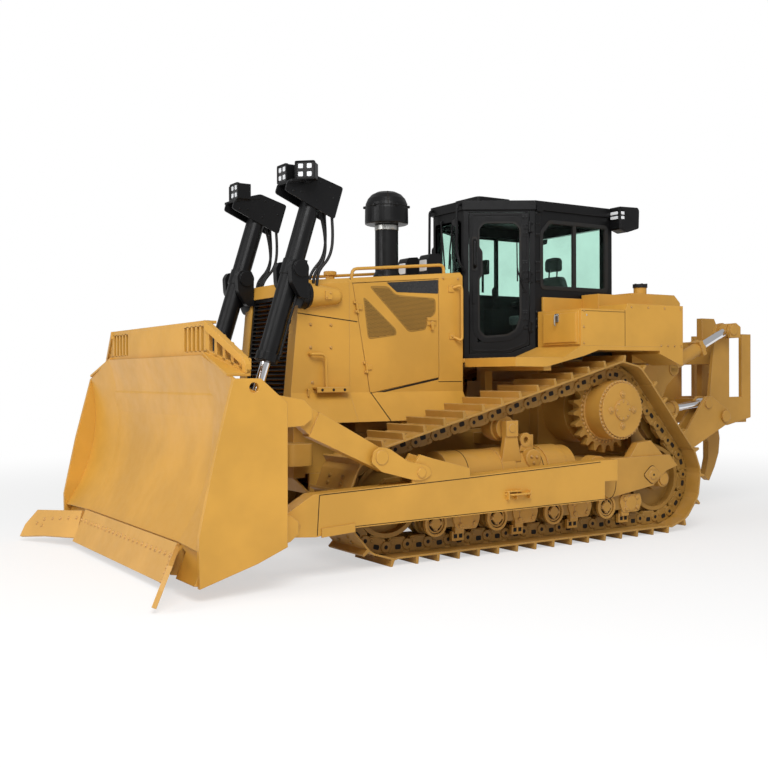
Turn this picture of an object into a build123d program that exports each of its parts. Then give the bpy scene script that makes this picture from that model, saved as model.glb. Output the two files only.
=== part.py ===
from build123d import *
import math
import os

# A large high-drive crawler bulldozer with a semi-U blade and a single-shank ripper.
# Frame: +X forward, +Y the machine's left, +Z up, millimetres.
# The origin is on the ground under the middle of the machine's overall length.

# Overall reach and clearances
REACH = 4450.0            # from the origin to the end bits' tips, and back to the ripper's plates
PIVOT_GAP = 6.0           # side clearance between pieces that turn on each other
SEAT = 0.3                # clearance of a seated piece

# Track
TRACK_Y = 1125.0          # track centre line from the machine's centre
SHOE_WIDTH = 640.0
SHOE_COUNT = 43
SHOE_PLATE = 18.0
GROUSER_HEIGHT = 66.0     # from the shoe's face to the grouser's tip
GROUSER_WIDTH = 22.0
LINK_HALF = 75.0          # from the pins' line to the rail and to the shoe's seat
LINK_OFFSET = 92.0        # each rail of links from the track's centre line
LINK_WIDTH = 56.0
PIN_RADIUS = 33.0         # bushing
IDLER_RADIUS = 364.0
IDLER_WIDTH = 118.0
FRONT_IDLER_X = 1858.0
REAR_IDLER_X = -1725.0
SPROCKET_X = -1047.0
SPROCKET_Z = 1385.0
SPROCKET_TOOTH = 52.0     # from the pins' line out to a tooth's tip
SPROCKET_BORE = 335.0
SPROCKET_TEETH = 22
SPROCKET_WIDTH = 92.0
HUB_FACE_Y = 1422.0
HUB_RADIUS = 320.0
ROLLER_RADIUS = 112.0
ROLLER_COUNT = 8
CARRIER_X = 430.0
CARRIER_RADIUS = 118.0
FIRST_SHOE = 110.0        # from the front idler's lowest point back to the first shoe's middle

PIN_LINE_Z = GROUSER_HEIGHT + SHOE_PLATE + LINK_HALF
RAIL_Z = PIN_LINE_Z + LINK_HALF
IDLER_Z = RAIL_Z + IDLER_RADIUS + SEAT
IDLER_LOOP_RADIUS = IDLER_RADIUS + SEAT + LINK_HALF

# Roller frame
FRAME_Z = 775.0           # axis of the frame's tube
FRAME_TUBE_RADIUS = 245.0
FRAME_LOW_Z = 516.0
FRAME_TUBE_REAR = -430.0
KEEL_REAR = -1500.0
FRAME_TUBE_FRONT = 1230.0
RECOIL_RADIUS = 190.0
RECOIL_FRONT = 1440.0
PIVOT_SHAFT_X = -500.0
EQUALIZER_X = 130.0

# Main frame between the tracks
CASE_HALF = 560.0
CASE_REAR_X = -1950.0
CASE_FRONT_X = -600.0
CASE_TOP_Z = 1900.0
RAIL_TOP_Z = 1180.0
BELLY_Z = 596.0
ENGINE_HALF = 400.0

# Blade and push arms
ARM_PIVOT_X = -635.0
ARM_PIVOT_Z = 771.0
ARM_OUTER_Y = 1650.0
ARM_THICK = 165.0
TRUNNION_RADIUS = 140.0
TRUNNION_PIN = 78.0
ARM_FRONT_X = 2866.0
BRACE_Y = 1552.0          # line of each brace between blade and push arm
BRACE_GAP = 68.0
BRACE_FRONT_X = 2968.0
BRACE_FRONT_Z = 1448.0
BRACE_REAR_X = 1726.0
BRACE_REAR_Z = 890.0
CENTRE_HALF = 1250.0      # half width of the mouldboard's straight middle
WING_Y = 1880.0           # where each wing meets its side plate
WING_ADVANCE = 62.0       # how far forward each wing's end stands
MOULD_WALL = 34.0
MOULD_TOP_X = 3722.0
MOULD_TOP_Z = 1944.0
MOULD_MID_X = 3622.0
MOULD_MID_Z = 1210.0
MOULD_LOW_X = 3935.0
MOULD_LOW_Z = 385.0
WING_TOP_Z = 1748.0
EDGE_LOW_X = 4062.0
EDGE_LOW_Z = 52.0
EDGE_THICK = 38.0
END_BIT_RUN = 342.0       # how far forward an end bit's tip stands from the edge
GUARD_TOP_Z = 2238.0
SIDE_PLATE = 42.0
FLARE_Y = 100.0           # how far out the side plate's front edge stands
EAR_HOLE_X = 3545.0
EAR_HOLE_Z = 1672.0
EAR_HOLE_RADIUS = 42.0

# Blade lift cylinders
LIFT_Y = 605.0
LIFT_PIVOT_X = 2525.0
LIFT_PIVOT_Z = 2778.0
LIFT_EYE_X = 3200.0
LIFT_EYE_Z = 640.0
LIFT_BARREL_RADIUS = 96.0
TRUNNION_BOSS = 52.0
LAMP_PLATE_Y = 102.0
LIFT_BARREL_WALL = 12.0
LIFT_ROD_RADIUS = 48.0
LIFT_ROD_LENGTH = 1930.0  # from the eye's centre to the piston's end
LIFT_GLAND = 922.0        # from the trunnion down to the gland's end
LIFT_BARREL_TOP = 850.0   # from the trunnion up to the barrel's top
LIFT_EYE_RADIUS = 92.0
LIFT_EYE_WIDTH = 120.0
LIFT_MOUNT_Z = 2545.0     # axis of the tube that the cylinder's yoke turns on

# Hood and radiator guard
HOOD_FRONT_X = 2430.0
HOOD_REAR_X = 480.0
HOOD_HALF = 600.0
HOOD_LOW_HALF = 770.0
HOOD_SHOULDER = 45.0
HOOD_FRONT_Z = 2690.0
HOOD_REAR_Z = 2865.0
HOOD_WAIST_Z = 1600.0
HOOD_LOW_Z = 1310.0
HOOD_WALL = 28.0
GUARD_REAR_X = 1880.0
GUARD_FLARE_X = 2180.0    # where the low flare starts to close toward the front
GUARD_LEAN = 0.098        # how far forward the grille's face leans for each unit down
GUARD_LOW_Z = 1500.0      # the guard's lowest front corner
GUARD_WALL = 60.0
GUARD_OPEN_HALF = 450.0
GUARD_OPEN_LOW_Z = 1420.0
GUARD_OPEN_TOP_Z = 2560.0
DOOR_FRONT_X = 1838.0     # top of the engine door's leaning front edge
DOOR_LOW_FRONT_X = 1640.0
DOOR_REAR_X = 795.0
DOOR_LOW_FRONT_Z = 1590.0
DOOR_LOW_REAR_Z = 1745.0
DOOR_TOP_DROP = 60.0      # from the hood's top down to the door's top edge
HINGE_OUT = 16.0          # a door hinge's axis stands this far out of the leaf's face
HINGE_RADIUS = 13.0
HINGE_PLACES = (1850.0, 2450.0)
CAB_HINGE_PLACES = (2300.0, 2850.0, 3400.0)
DOOR_GAP = 6.0
STACK_X = 1150.0
STACK_Y = 150.0
STACK_RADIUS = 95.0
RAIL_RADIUS = 17.0
GRILLE_SLATS = 24

# Cab
CAB_HALF = 715.0
CAB_NOSE_HALF = 290.0     # half width of the windscreen's side
CAB_FRONT_X = 230.0
CAB_CORNER_X = -430.0     # where each angled door meets the cab's flat side
CAB_REAR_X = -1600.0
CAB_DOOR_LOW_FRONT_Z = 2012.0
CAB_DOOR_LOW_REAR_Z = 2100.0
CAB_DOOR_TOP_Z = 3560.0
CAB_SILL_Z = 2740.0
CAB_WINDOW_TOP_Z = 3470.0
CAB_ROOF_Z = 3590.0
CAB_TOP_Z = 3690.0
CAB_WALL = 70.0
CAB_EDGE = 62.0           # from the cab's corner to the doorway
DOOR_LEAF = 58.0
DOOR_FRAME = 88.0
GLASS = 12.0
WINDSCREEN_HALF = 225.0
WINDSCREEN_LOW_Z = 2880.0

# Platforms, tanks and boxes
PLATFORM_TOP_Z = 1945.0
PLATFORM_THICK = 44.0
PLATFORM_FRONT_X = 440.0
DECK_RISE_X = -200.0      # where the deck starts to rise toward the tanks
CAB_FLOOR_Z = PLATFORM_TOP_Z + SEAT
TANK_FRONT_X = -445.0
TANK_LOW_Z = 2072.0
TANK_LIP_Z = 2462.0
PLATFORM_HALF = 1430.0
TANK_PANEL_Y = 1430.0
TANK_PANEL_TOP_Z = 2535.0
TANK_STEP_X = -1090.0
TANK_REAR_X = -1990.0
FUEL_TOP_Z = 2700.0
FUEL_HALF = 1000.0

# Ripper
RIP_LINK_X = -2530.0      # front pin of the lower link
RIP_LINK_Z = 720.0
RIP_BEAM_X = -3690.0      # beam's lower pin
RIP_BEAM_Z = 1230.0
RIP_RISE_X = -150.0       # from a lower pin to the upper pin of the same piece
RIP_RISE_Z = 1110.0
RIP_ARM_IN = 440.0        # inner and outer faces of each lower arm
RIP_ARM_OUT = 620.0
RIP_PITCH_Y = 530.0
RIP_LIFT_Y = 530.0
RIP_PIN = 50.0
RIP_PLATE_Y = 400.0
RIP_PLATE = 50.0
RIP_LIFT_FRONT_X = -2080.0
RIP_LIFT_FRONT_Z = 1275.0
RIP_LIFT_EYE_X = -3370.0
RIP_LIFT_EYE_Z = 1400.0
RIP_LIFT_GLAND = 762.0
RIP_LIFT_ROD = 46.0
RIP_LIFT_ROD_LENGTH = 1050.0
SHANK_FRONT_X = -3940.0
SHANK_REAR_X = -4250.0
SHANK_HALF = 45.0

PARTS = {}


def box(x0, x1, y0, y1, z0, z1):
    return Pos((x0 + x1) / 2, (y0 + y1) / 2, (z0 + z1) / 2) * Box(abs(x1 - x0), abs(y1 - y0), abs(z1 - z0))


def flat(points, radius=0.0):
    face = make_face(Polyline(*points, close=True))
    if radius:
        face = fillet(face.vertices(), radius)
    return face


def side_plate(points, y0, y1, radius=0.0):
    """A plate whose outline is given as (x, z), between two places across the machine."""
    shape = extrude(Plane.XZ * flat(points, radius), -(y1 - y0))
    return Pos(0, y0, 0) * shape


def cross_plate(points, x0, x1, radius=0.0):
    """A plate whose outline is given as (y, z), between two places along the machine."""
    return Pos(x0, 0, 0) * extrude(Plane.YZ * flat(points, radius), x1 - x0)


def level_plate(points, z0, z1, radius=0.0):
    """A plate whose outline is given as (x, y), between two heights."""
    return Pos(0, 0, z0) * extrude(flat(points, radius), z1 - z0)


def shaft_y(x, z, radius, y0, y1):
    return Pos(x, (y0 + y1) / 2, z) * Rot(90, 0, 0) * Cylinder(radius, abs(y1 - y0))


def shaft_x(y, z, radius, x0, x1):
    return Pos((x0 + x1) / 2, y, z) * Rot(0, 90, 0) * Cylinder(radius, abs(x1 - x0))


def shaft_z(x, y, radius, z0, z1):
    return Pos(x, y, (z0 + z1) / 2) * Cylinder(radius, abs(z1 - z0))


def shaft(start, end, radius):
    """A round bar between two points."""
    a = Vector(*start)
    b = Vector(*end)
    return Plane(origin=a, z_dir=b - a) * Cylinder(radius, (b - a).length, align=(Align.CENTER, Align.CENTER, Align.MIN))


def other_side(shape):
    return mirror(shape, about=Plane.XZ)


def both(shape):
    return shape + other_side(shape)


def total(shapes):
    result = shapes[0]
    for shape in shapes[1:]:
        result = result + shape
    return result


def put(name, shape):
    PARTS[name] = shape


# The track's loop: circles about the front idler, the rear idler and the sprocket

def loop_stretches(sprocket_radius):
    """The pins' line as (kind, length, data), clockwise seen from the machine's right."""
    loop = (
        # x, z, radius of the pins' line
        (FRONT_IDLER_X, IDLER_Z, IDLER_LOOP_RADIUS),
        (REAR_IDLER_X, IDLER_Z, IDLER_LOOP_RADIUS),
        (SPROCKET_X, SPROCKET_Z, sprocket_radius),
    )
    tangents = []
    count = len(loop)
    for i in range(count):
        x0, z0, r0 = loop[i]
        x1, z1, r1 = loop[(i + 1) % count]
        distance = math.hypot(x1 - x0, z1 - z0)
        heading = math.atan2(z1 - z0, x1 - x0)
        tilt = math.asin((r0 - r1) / distance)
        normal = heading + math.pi / 2 - tilt
        start = (x0 + r0 * math.cos(normal), z0 + r0 * math.sin(normal))
        end = (x1 + r1 * math.cos(normal), z1 + r1 * math.sin(normal))
        tangents.append((normal, start, end, math.hypot(end[0] - start[0], end[1] - start[1])))
    stretches = []
    for i in range(count):
        normal, start, end, length = tangents[i]
        stretches.append(("line", length, (start, end, normal)))
        x, z, radius = loop[(i + 1) % count]
        turn = (normal - tangents[(i + 1) % count][0]) % (2 * math.pi)
        stretches.append(("arc", radius * turn, (x, z, radius, normal)))
    return stretches


# Every second tooth meets a pin, so the teeth set the radius that the links wrap at
SPROCKET_PITCH_RADIUS = 420.0
for _ in range(30):
    LINK_PITCH = sum(s[1] for s in loop_stretches(SPROCKET_PITCH_RADIUS)) / SHOE_COUNT
    SPROCKET_PITCH_RADIUS = LINK_PITCH * (SPROCKET_TEETH / 2) / (2 * math.pi)
STRETCHES = loop_stretches(SPROCKET_PITCH_RADIUS)


def loop_frames(count, start=0.0):
    """The place and outward angle of each of the links, evenly spaced round the loop."""
    length = sum(s[1] for s in STRETCHES)
    frames = []
    for i in range(count):
        s = (start + i * length / count) % length
        for kind, span, data in STRETCHES:
            if s <= span:
                break
            s -= span
        if kind == "line":
            (xa, za), (xb, zb), normal = data
            t = s / span
            frames.append((xa + (xb - xa) * t, za + (zb - za) * t, normal))
        else:
            x, z, radius, normal = data
            angle = normal - s / radius
            frames.append((x + radius * math.cos(angle), z + radius * math.sin(angle), angle))
    return frames


# Track with its shoes, links and bushings

def track(y):
    outer = []
    inner = []
    rail_out = []
    rail_in = []
    half = LINK_PITCH / 2 - 4.0
    face = LINK_HALF + SHOE_PLATE
    tip = face + GROUSER_HEIGHT
    # along the travel, outward from the pins' line
    shoe_outline = ((-half, face), (half - 36, face), (half - 31, tip), (half - 9, tip), (half - 2, face))
    shoe_seat = ((-half, LINK_HALF), (half - 2, LINK_HALF))
    link_out = ((0.0, LINK_HALF + 8),)
    link_in = ((-half, -34.0), (-half + 42, -LINK_HALF), (half - 42, -LINK_HALF))
    for x, z, angle in loop_frames(SHOE_COUNT, FIRST_SHOE):
        ox, oz = math.cos(angle), math.sin(angle)
        tx, tz = math.sin(angle), -math.cos(angle)
        for outline, places in ((outer, shoe_outline), (inner, shoe_seat), (rail_out, link_out), (rail_in, link_in)):
            for t, n in places:
                outline.append((x + t * tx + n * ox, z + t * tz + n * oz))
    shape = side_plate(outer, y - SHOE_WIDTH / 2, y + SHOE_WIDTH / 2)
    shape = shape - side_plate(inner, y - SHOE_WIDTH / 2 - 1, y + SHOE_WIDTH / 2 + 1)
    for side in (-1, 1):
        y0 = y + side * LINK_OFFSET - LINK_WIDTH / 2
        rail = side_plate(rail_out, y0, y0 + LINK_WIDTH) - side_plate(rail_in, y0 - 1, y0 + LINK_WIDTH + 1)
        shape = shape + rail
    return shape


def idlers():
    shapes = []
    for x in (FRONT_IDLER_X, REAR_IDLER_X):
        rim = shaft_y(x, IDLER_Z, IDLER_RADIUS, TRACK_Y - 125, TRACK_Y + 125)
        flange = shaft_y(x, IDLER_Z, IDLER_RADIUS + 24, TRACK_Y - 54, TRACK_Y + 54)
        dish = shaft_y(x, IDLER_Z, IDLER_RADIUS - 44, TRACK_Y + 40, TRACK_Y + 126)
        dish += shaft_y(x, IDLER_Z, IDLER_RADIUS - 44, TRACK_Y - 126, TRACK_Y - 40)
        hub = shaft_y(x, IDLER_Z, 130, TRACK_Y - 140, TRACK_Y + 140)
        shapes.append(rim + flange - dish + hub)
    return both(total(shapes))


def sprocket_outline():
    """The toothed ring's outline; its valleys stand on the pins."""
    for x, z, angle in loop_frames(SHOE_COUNT, FIRST_SHOE + LINK_PITCH / 2):
        if math.hypot(x - SPROCKET_X, z - SPROCKET_Z) < SPROCKET_PITCH_RADIUS + 1:
            pin = angle
    points = []
    step = 2 * math.pi / SPROCKET_TEETH
    tip = SPROCKET_PITCH_RADIUS + SPROCKET_TOOTH
    for i in range(SPROCKET_TEETH):
        for share, radius in ((-0.22, SPROCKET_PITCH_RADIUS - 18), (0.0, SPROCKET_PITCH_RADIUS - PIN_RADIUS),
                              (0.22, SPROCKET_PITCH_RADIUS - 18), (0.40, tip), (0.60, tip)):
            a = pin + (i + share) * step
            points.append((SPROCKET_X + radius * math.cos(a), SPROCKET_Z + radius * math.sin(a)))
    return points


def sprockets():
    half = SPROCKET_WIDTH / 2
    ring = side_plate(sprocket_outline(), TRACK_Y - half, TRACK_Y + half)
    return both(ring - shaft_y(SPROCKET_X, SPROCKET_Z, SPROCKET_BORE, TRACK_Y - half - 1, TRACK_Y + half + 1))


def final_drives():
    drum = shaft_y(SPROCKET_X, SPROCKET_Z, HUB_RADIUS, TRACK_Y - 130, HUB_FACE_Y - 22)
    flange = shaft_y(SPROCKET_X, SPROCKET_Z, SPROCKET_BORE - SEAT, TRACK_Y - 54, TRACK_Y + 54)
    face = shaft_y(SPROCKET_X, SPROCKET_Z, HUB_RADIUS - 26, HUB_FACE_Y - 22, HUB_FACE_Y)
    cap = shaft_y(SPROCKET_X, SPROCKET_Z, 112, HUB_FACE_Y, HUB_FACE_Y + 16)
    neck = shaft_y(SPROCKET_X, SPROCKET_Z, 380, CASE_HALF + SEAT, TRACK_Y - 210)
    axle = shaft_y(SPROCKET_X, SPROCKET_Z, 250, TRACK_Y - 210, TRACK_Y - 130)
    shape = drum + flange + face + cap + neck + axle
    for i in range(4):
        a = math.radians(90 * i)
        shape += shaft_y(SPROCKET_X + 170 * math.cos(a), SPROCKET_Z + 170 * math.sin(a), 34, HUB_FACE_Y, HUB_FACE_Y + 12)
    return both(shape)


def roller_places():
    first = FRONT_IDLER_X - 480.0
    last = REAR_IDLER_X + 480.0
    return [first + (last - first) * i / (ROLLER_COUNT - 1) for i in range(ROLLER_COUNT)]


def track_rollers():
    z = RAIL_Z + ROLLER_RADIUS + SEAT
    places = roller_places()
    shapes = []
    for x in places:
        shapes.append(shaft_y(x, z, 62, TRACK_Y - 215, TRACK_Y + 215))
        shapes.append(shaft_y(x, z, ROLLER_RADIUS, TRACK_Y - 126, TRACK_Y + 126))
        for side in (-1, 1):
            flange = TRACK_Y + side * 46
            shapes.append(shaft_y(x, z, ROLLER_RADIUS + 20, flange - 12, flange + 12))
    # the bogies that carry the rollers in pairs
    for i in range(0, ROLLER_COUNT, 2):
        x0, x1 = places[i + 1], places[i]
        outline = ((x0 - 90, z - 50), (x1 + 90, z - 50), (x1 + 90, z + 70), (x1 - 40, z + 150),
                   (x0 + 40, z + 150), (x0 - 90, z + 70))
        for side in (-1, 1):
            y = TRACK_Y + side * 185
            shapes.append(side_plate(outline, y - 28, y + 28))
        shapes.append(box(x0 + 130, x1 - 130, TRACK_Y - 160, TRACK_Y + 160, z + 60, FRAME_LOW_Z - SEAT))
    return both(total(shapes))


def carrier_z():
    """Height of the carrier roller's axis, under the links of the top run."""
    for kind, span, data in STRETCHES:
        if kind == "line" and math.sin(data[2]) > 0.5:
            (xa, za), (xb, zb), normal = data
    slope = (zb - za) / (xb - xa)
    line_z = za + slope * (CARRIER_X - xa)
    return line_z - (LINK_HALF + CARRIER_RADIUS + SEAT) / math.sin(normal)


def carrier_rollers():
    z = carrier_z()
    roller = shaft_y(CARRIER_X, z, CARRIER_RADIUS, TRACK_Y - 126, TRACK_Y + 126)
    flange = shaft_y(CARRIER_X, z, CARRIER_RADIUS + 20, TRACK_Y - 54, TRACK_Y + 54)
    axle = shaft_y(CARRIER_X, z, 44, TRACK_Y, TRACK_Y + 240)
    head = box(CARRIER_X - 75, CARRIER_X + 75, TRACK_Y + 150, TRACK_Y + 235, z - 85, z + 75)
    outline = ((CARRIER_X - 130, FRAME_Z + 80), (CARRIER_X + 130, FRAME_Z + 80), (CARRIER_X + 60, z), (CARRIER_X - 60, z))
    foot = side_plate(outline, TRACK_Y + 165, TRACK_Y + 220)
    tube = shaft_x(TRACK_Y, FRAME_Z, FRAME_TUBE_RADIUS + SEAT, FRAME_TUBE_REAR, FRAME_TUBE_FRONT)
    return both(roller + flange + axle + head + foot - tube)


def roller_frames():
    tube = shaft_x(TRACK_Y, FRAME_Z, FRAME_TUBE_RADIUS, FRAME_TUBE_REAR, FRAME_TUBE_FRONT)
    recoil = shaft_x(TRACK_Y, FRAME_Z - 60, RECOIL_RADIUS, FRAME_TUBE_FRONT - 20, RECOIL_FRONT)
    keel = box(KEEL_REAR + 210, FRAME_TUBE_FRONT, TRACK_Y - 150, TRACK_Y + 150, FRAME_LOW_Z, FRAME_Z)
    shape = tube + recoil + keel
    # outer and inner plates that hold the rear idler, and the yoke that holds the front one
    rear = ((-719, 865), (-1798, 869), (-1932, 742), (-1757, 695), (-1545, 540), (-863, 441), (-700, 560))
    for side in (-1, 1):
        y = TRACK_Y + side * 245
        shape += side_plate(rear, y - 30, y + 30)
    shape += box(-1290, -430, TRACK_Y - 240, TRACK_Y + 240, 560, 860)
    front = ((1400, 860), (1940, 800), (2030, 690), (2030, 520), (1400, 520))
    for side in (-1, 1):
        y = TRACK_Y + side * 190
        shape += side_plate(front, y - 25, y + 25)
    shape += box(1400, 1450, TRACK_Y - 200, TRACK_Y + 200, 540, 850)
    for x, inner in ((FRONT_IDLER_X, 140 + SEAT), (REAR_IDLER_X, 140 + SEAT)):
        for side in (-1, 1):
            y = TRACK_Y + side * inner
            shape += shaft_y(x, IDLER_Z, 88, y, TRACK_Y + side * (215 if x > 0 else 250))
    shape += shaft_y(PIVOT_SHAFT_X, FRAME_Z, 150, CASE_HALF + 60, TRACK_Y)
    shape += box(EQUALIZER_X - 75, EQUALIZER_X + 75, 1010, 1240, FRAME_Z + 100, 1150)
    # trunnion that carries the push arm
    shape += shaft_y(ARM_PIVOT_X, ARM_PIVOT_Z, TRUNNION_RADIUS, TRACK_Y + 200, ARM_OUTER_Y - ARM_THICK - PIVOT_GAP)
    shape += shaft_y(ARM_PIVOT_X, ARM_PIVOT_Z, TRUNNION_PIN, TRACK_Y + 200, ARM_OUTER_Y - 30)
    return both(shape)


# Frame between the tracks, engine and guards

def main_frame():
    case = box(CASE_REAR_X, CASE_FRONT_X, -CASE_HALF, CASE_HALF, BELLY_Z + 60, CASE_TOP_Z)
    rails = both(box(CASE_FRONT_X - 10, 2300, 330, 420, 800, RAIL_TOP_Z))
    nose = box(2290, 2420, -420, 420, 760, 1300) + fillet(box(2300, 2570, -640, 640, 895, 1110).edges().filter_by(Axis.Z), 60)
    pivot = shaft_y(PIVOT_SHAFT_X, FRAME_Z, 110, -CASE_HALF - 60 + SEAT, CASE_HALF + 60 - SEAT)
    bar = box(EQUALIZER_X - 70, EQUALIZER_X + 70, -1010 + SEAT, 1010 - SEAT, 1020, 1140)
    neck = box(CASE_FRONT_X - 10, -350, -420, 420, 800, 1700)
    return case + rails + nose + pivot + bar + neck


def belly_guard():
    plate = box(-560, 2250, -420, 420, BELLY_Z, BELLY_Z + 25)
    front = side_plate(((2249, BELLY_Z), (2249, BELLY_Z + 25), (2395, 759.7), (2420, 759.7)), -420, 420)
    ribs = both(box(-380, 2240, 380, 420, BELLY_Z + 20, 799.7))
    return plate + front + ribs


def engine_block():
    return box(560, 1700, -ENGINE_HALF, ENGINE_HALF, RAIL_TOP_Z + SEAT, 2300)


def hood_top(x):
    """Height of the hood's top at a place along the machine."""
    return HOOD_FRONT_Z + (HOOD_REAR_Z - HOOD_FRONT_Z) * (HOOD_FRONT_X - x) / (HOOD_FRONT_X - HOOD_REAR_X)


def hood_section(x, wall=0.0, drop=0.0, flare=1.0):
    """The hood's outline across the machine, or its inside, a wall smaller."""
    top = hood_top(x)
    half = HOOD_HALF - wall
    low = half + (HOOD_LOW_HALF - HOOD_HALF) * flare
    low_z = HOOD_LOW_Z + (GUARD_LOW_Z - HOOD_LOW_Z) * (1 - flare) - drop
    bevel = HOOD_SHOULDER + wall * 0.4
    points = ((low, low_z), (half, HOOD_WAIST_Z), (half, top - wall - bevel), (half - bevel, top - wall),
              (-half + bevel, top - wall), (-half, top - wall - bevel), (-half, HOOD_WAIST_Z), (-low, low_z))
    return Plane(origin=(x, 0, 0), x_dir=(0, 1, 0), z_dir=(1, 0, 0)) * flat(points)


def guard_face(z, back=0.0):
    """Where the guard's leaning front face stands at a height."""
    return HOOD_FRONT_X + (HOOD_FRONT_Z - z) * GUARD_LEAN - back


def lean_slab(z0, z1, back0, back1, half):
    """A plate parallel to the guard's face, between two depths behind it."""
    return side_plate(((guard_face(z0, back0), z0), (guard_face(z1, back0), z1), (guard_face(z1, back1), z1),
                       (guard_face(z0, back1), z0)), -half, half)


def radiator_guard():
    far = HOOD_FRONT_X + 250
    shell = loft([hood_section(GUARD_REAR_X), hood_section(GUARD_FLARE_X)])
    shell += loft([hood_section(GUARD_FLARE_X), hood_section(far, flare=0)])
    wall = GUARD_WALL
    inner = loft([hood_section(GUARD_REAR_X - 1, wall, 1), hood_section(GUARD_FLARE_X, wall, 1)])
    inner += loft([hood_section(GUARD_FLARE_X, wall, 1), hood_section(far, wall, 1, 0)])
    shell -= lean_slab(1200, 2800, -600, 0, 900)
    shell -= inner - lean_slab(1200, 2800, -600, wall, 900)
    opening = lean_slab(GUARD_OPEN_LOW_Z, GUARD_OPEN_TOP_Z, -10, wall + 10, GUARD_OPEN_HALF)
    shape = shell - opening
    sill = box(GUARD_REAR_X, GUARD_REAR_X + 60, -HOOD_LOW_HALF + 60, HOOD_LOW_HALF - 60, HOOD_LOW_Z, HOOD_LOW_Z + 60)
    foot = box(GUARD_REAR_X, 2280, 330, 420, RAIL_TOP_Z + SEAT, HOOD_LOW_Z + 60)
    shape += sill + both(foot + box(2220, 2280, 330, 600, GUARD_LOW_Z - 130, GUARD_LOW_Z + 60)
                         + box(2220, 2280, 330, 420, RAIL_TOP_Z + SEAT, GUARD_LOW_Z))
    # tube and yoke that each lift cylinder hangs in
    mount = Pos(2230, LIFT_Y, LIFT_MOUNT_Z) * Rot(0, 90, 0) * Cone(84, 128, 340)
    mount += Pos(2060, LIFT_Y, LIFT_MOUNT_Z) * Sphere(84)
    collar = shaft_x(LIFT_Y, LIFT_MOUNT_Z, 128, 2395, 2449)
    bridge = box(2436, 2450, LIFT_Y - 190, LIFT_Y + 190, LIFT_MOUNT_Z - 40, LIFT_MOUNT_Z + 60)
    bridge += box(2448, 2500, LIFT_Y - 190, LIFT_Y - 125, LIFT_MOUNT_Z - 40, LIFT_MOUNT_Z + 60)
    bridge += box(2448, 2500, LIFT_Y + 125, LIFT_Y + 190, LIFT_MOUNT_Z - 40, LIFT_MOUNT_Z + 60)
    arm = side_plate(((2448, LIFT_MOUNT_Z - 40), (2500, LIFT_MOUNT_Z - 40), (2600, 2740), (2600, 2820),
                      (2540, 2860), (2470, 2820), (2448, LIFT_MOUNT_Z + 60)), LIFT_Y + 125, LIFT_Y + 190)
    arms = arm + Pos(0, -315, 0) * arm
    shape += both(mount + collar + bridge + arms)
    pins = shaft_y(LIFT_PIVOT_X, LIFT_PIVOT_Z, TRUNNION_BOSS + 0.5, LIFT_Y - 191, LIFT_Y + 191)
    return shape - both(pins)


def grille():
    top = GUARD_OPEN_TOP_Z - SEAT
    low = GUARD_OPEN_LOW_Z + SEAT
    half = GUARD_OPEN_HALF - SEAT
    frame = lean_slab(low, top - 2, 16, 54, half) - lean_slab(low + 36, top - 36, 0, 60, half - 36)
    pitch = (top - low - 72) / GRILLE_SLATS
    for i in range(GRILLE_SLATS):
        z = low + 36 + pitch * (i + 0.5)
        x = guard_face(z)
        frame += side_plate(((x - 50, z + 8), (x - 16, z - 14), (x - 16, z - 6), (x - 50, z + 16)), -half + 30, half - 30)
    return frame


def door_edge_x(z):
    """The engine door's leaning front edge."""
    top = hood_top(DOOR_FRONT_X) - DOOR_TOP_DROP
    return DOOR_LOW_FRONT_X + (DOOR_FRONT_X - DOOR_LOW_FRONT_X) * (z - DOOR_LOW_FRONT_Z) / (top - DOOR_LOW_FRONT_Z)


def engine_door_outline(gap):
    """Outline of the engine door as (x, z), or of its opening, larger by the gap."""
    front_top = hood_top(DOOR_FRONT_X) - DOOR_TOP_DROP + gap
    rear_top = hood_top(DOOR_REAR_X) - DOOR_TOP_DROP + gap
    return ((DOOR_LOW_FRONT_X + gap, DOOR_LOW_FRONT_Z - gap), (DOOR_REAR_X - gap, DOOR_LOW_REAR_Z - gap),
            (DOOR_REAR_X - gap, rear_top), (DOOR_FRONT_X + gap, front_top))


def engine_hinge(z0, z1):
    """A stretch of the engine door's hinge, along the door's leaning front edge."""
    y = HOOD_HALF + HINGE_OUT
    return shaft((door_edge_x(z0) + 3, y, z0), (door_edge_x(z1) + 3, y, z1), HINGE_RADIUS)


def hood():
    front = GUARD_REAR_X - SEAT
    body = loft([hood_section(HOOD_REAR_X), hood_section(front)])
    core = loft([hood_section(HOOD_REAR_X + HOOD_WALL, HOOD_WALL, 1), hood_section(front + 1, HOOD_WALL, 1)])
    opening = side_plate(engine_door_outline(DOOR_GAP), -HOOD_HALF - 50, HOOD_HALF + 50)
    shape = body - core - opening
    for z in HINGE_PLACES:
        for z0 in (z - 60 - SEAT / 2, z + 30 + SEAT / 2):
            x = door_edge_x(z0 + 15)
            strap = box(x + 10, x + 34, HOOD_HALF - 2, HOOD_HALF + 20, z0 + 4, z0 + 26)
            shape += both(engine_hinge(z0, z0 + 30) + strap)
    # the low flared edge stands on brackets on the frame's rails
    for x in (620, 1300):
        shape += both(box(x, x + 60, 420 + SEAT, HOOD_LOW_HALF - 30, HOOD_LOW_Z - 150, HOOD_LOW_Z - 110)
                      + box(x, x + 60, HOOD_LOW_HALF - 60, HOOD_LOW_HALF - 30, HOOD_LOW_Z - 150, HOOD_LOW_Z + 40))
    return shape


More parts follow.
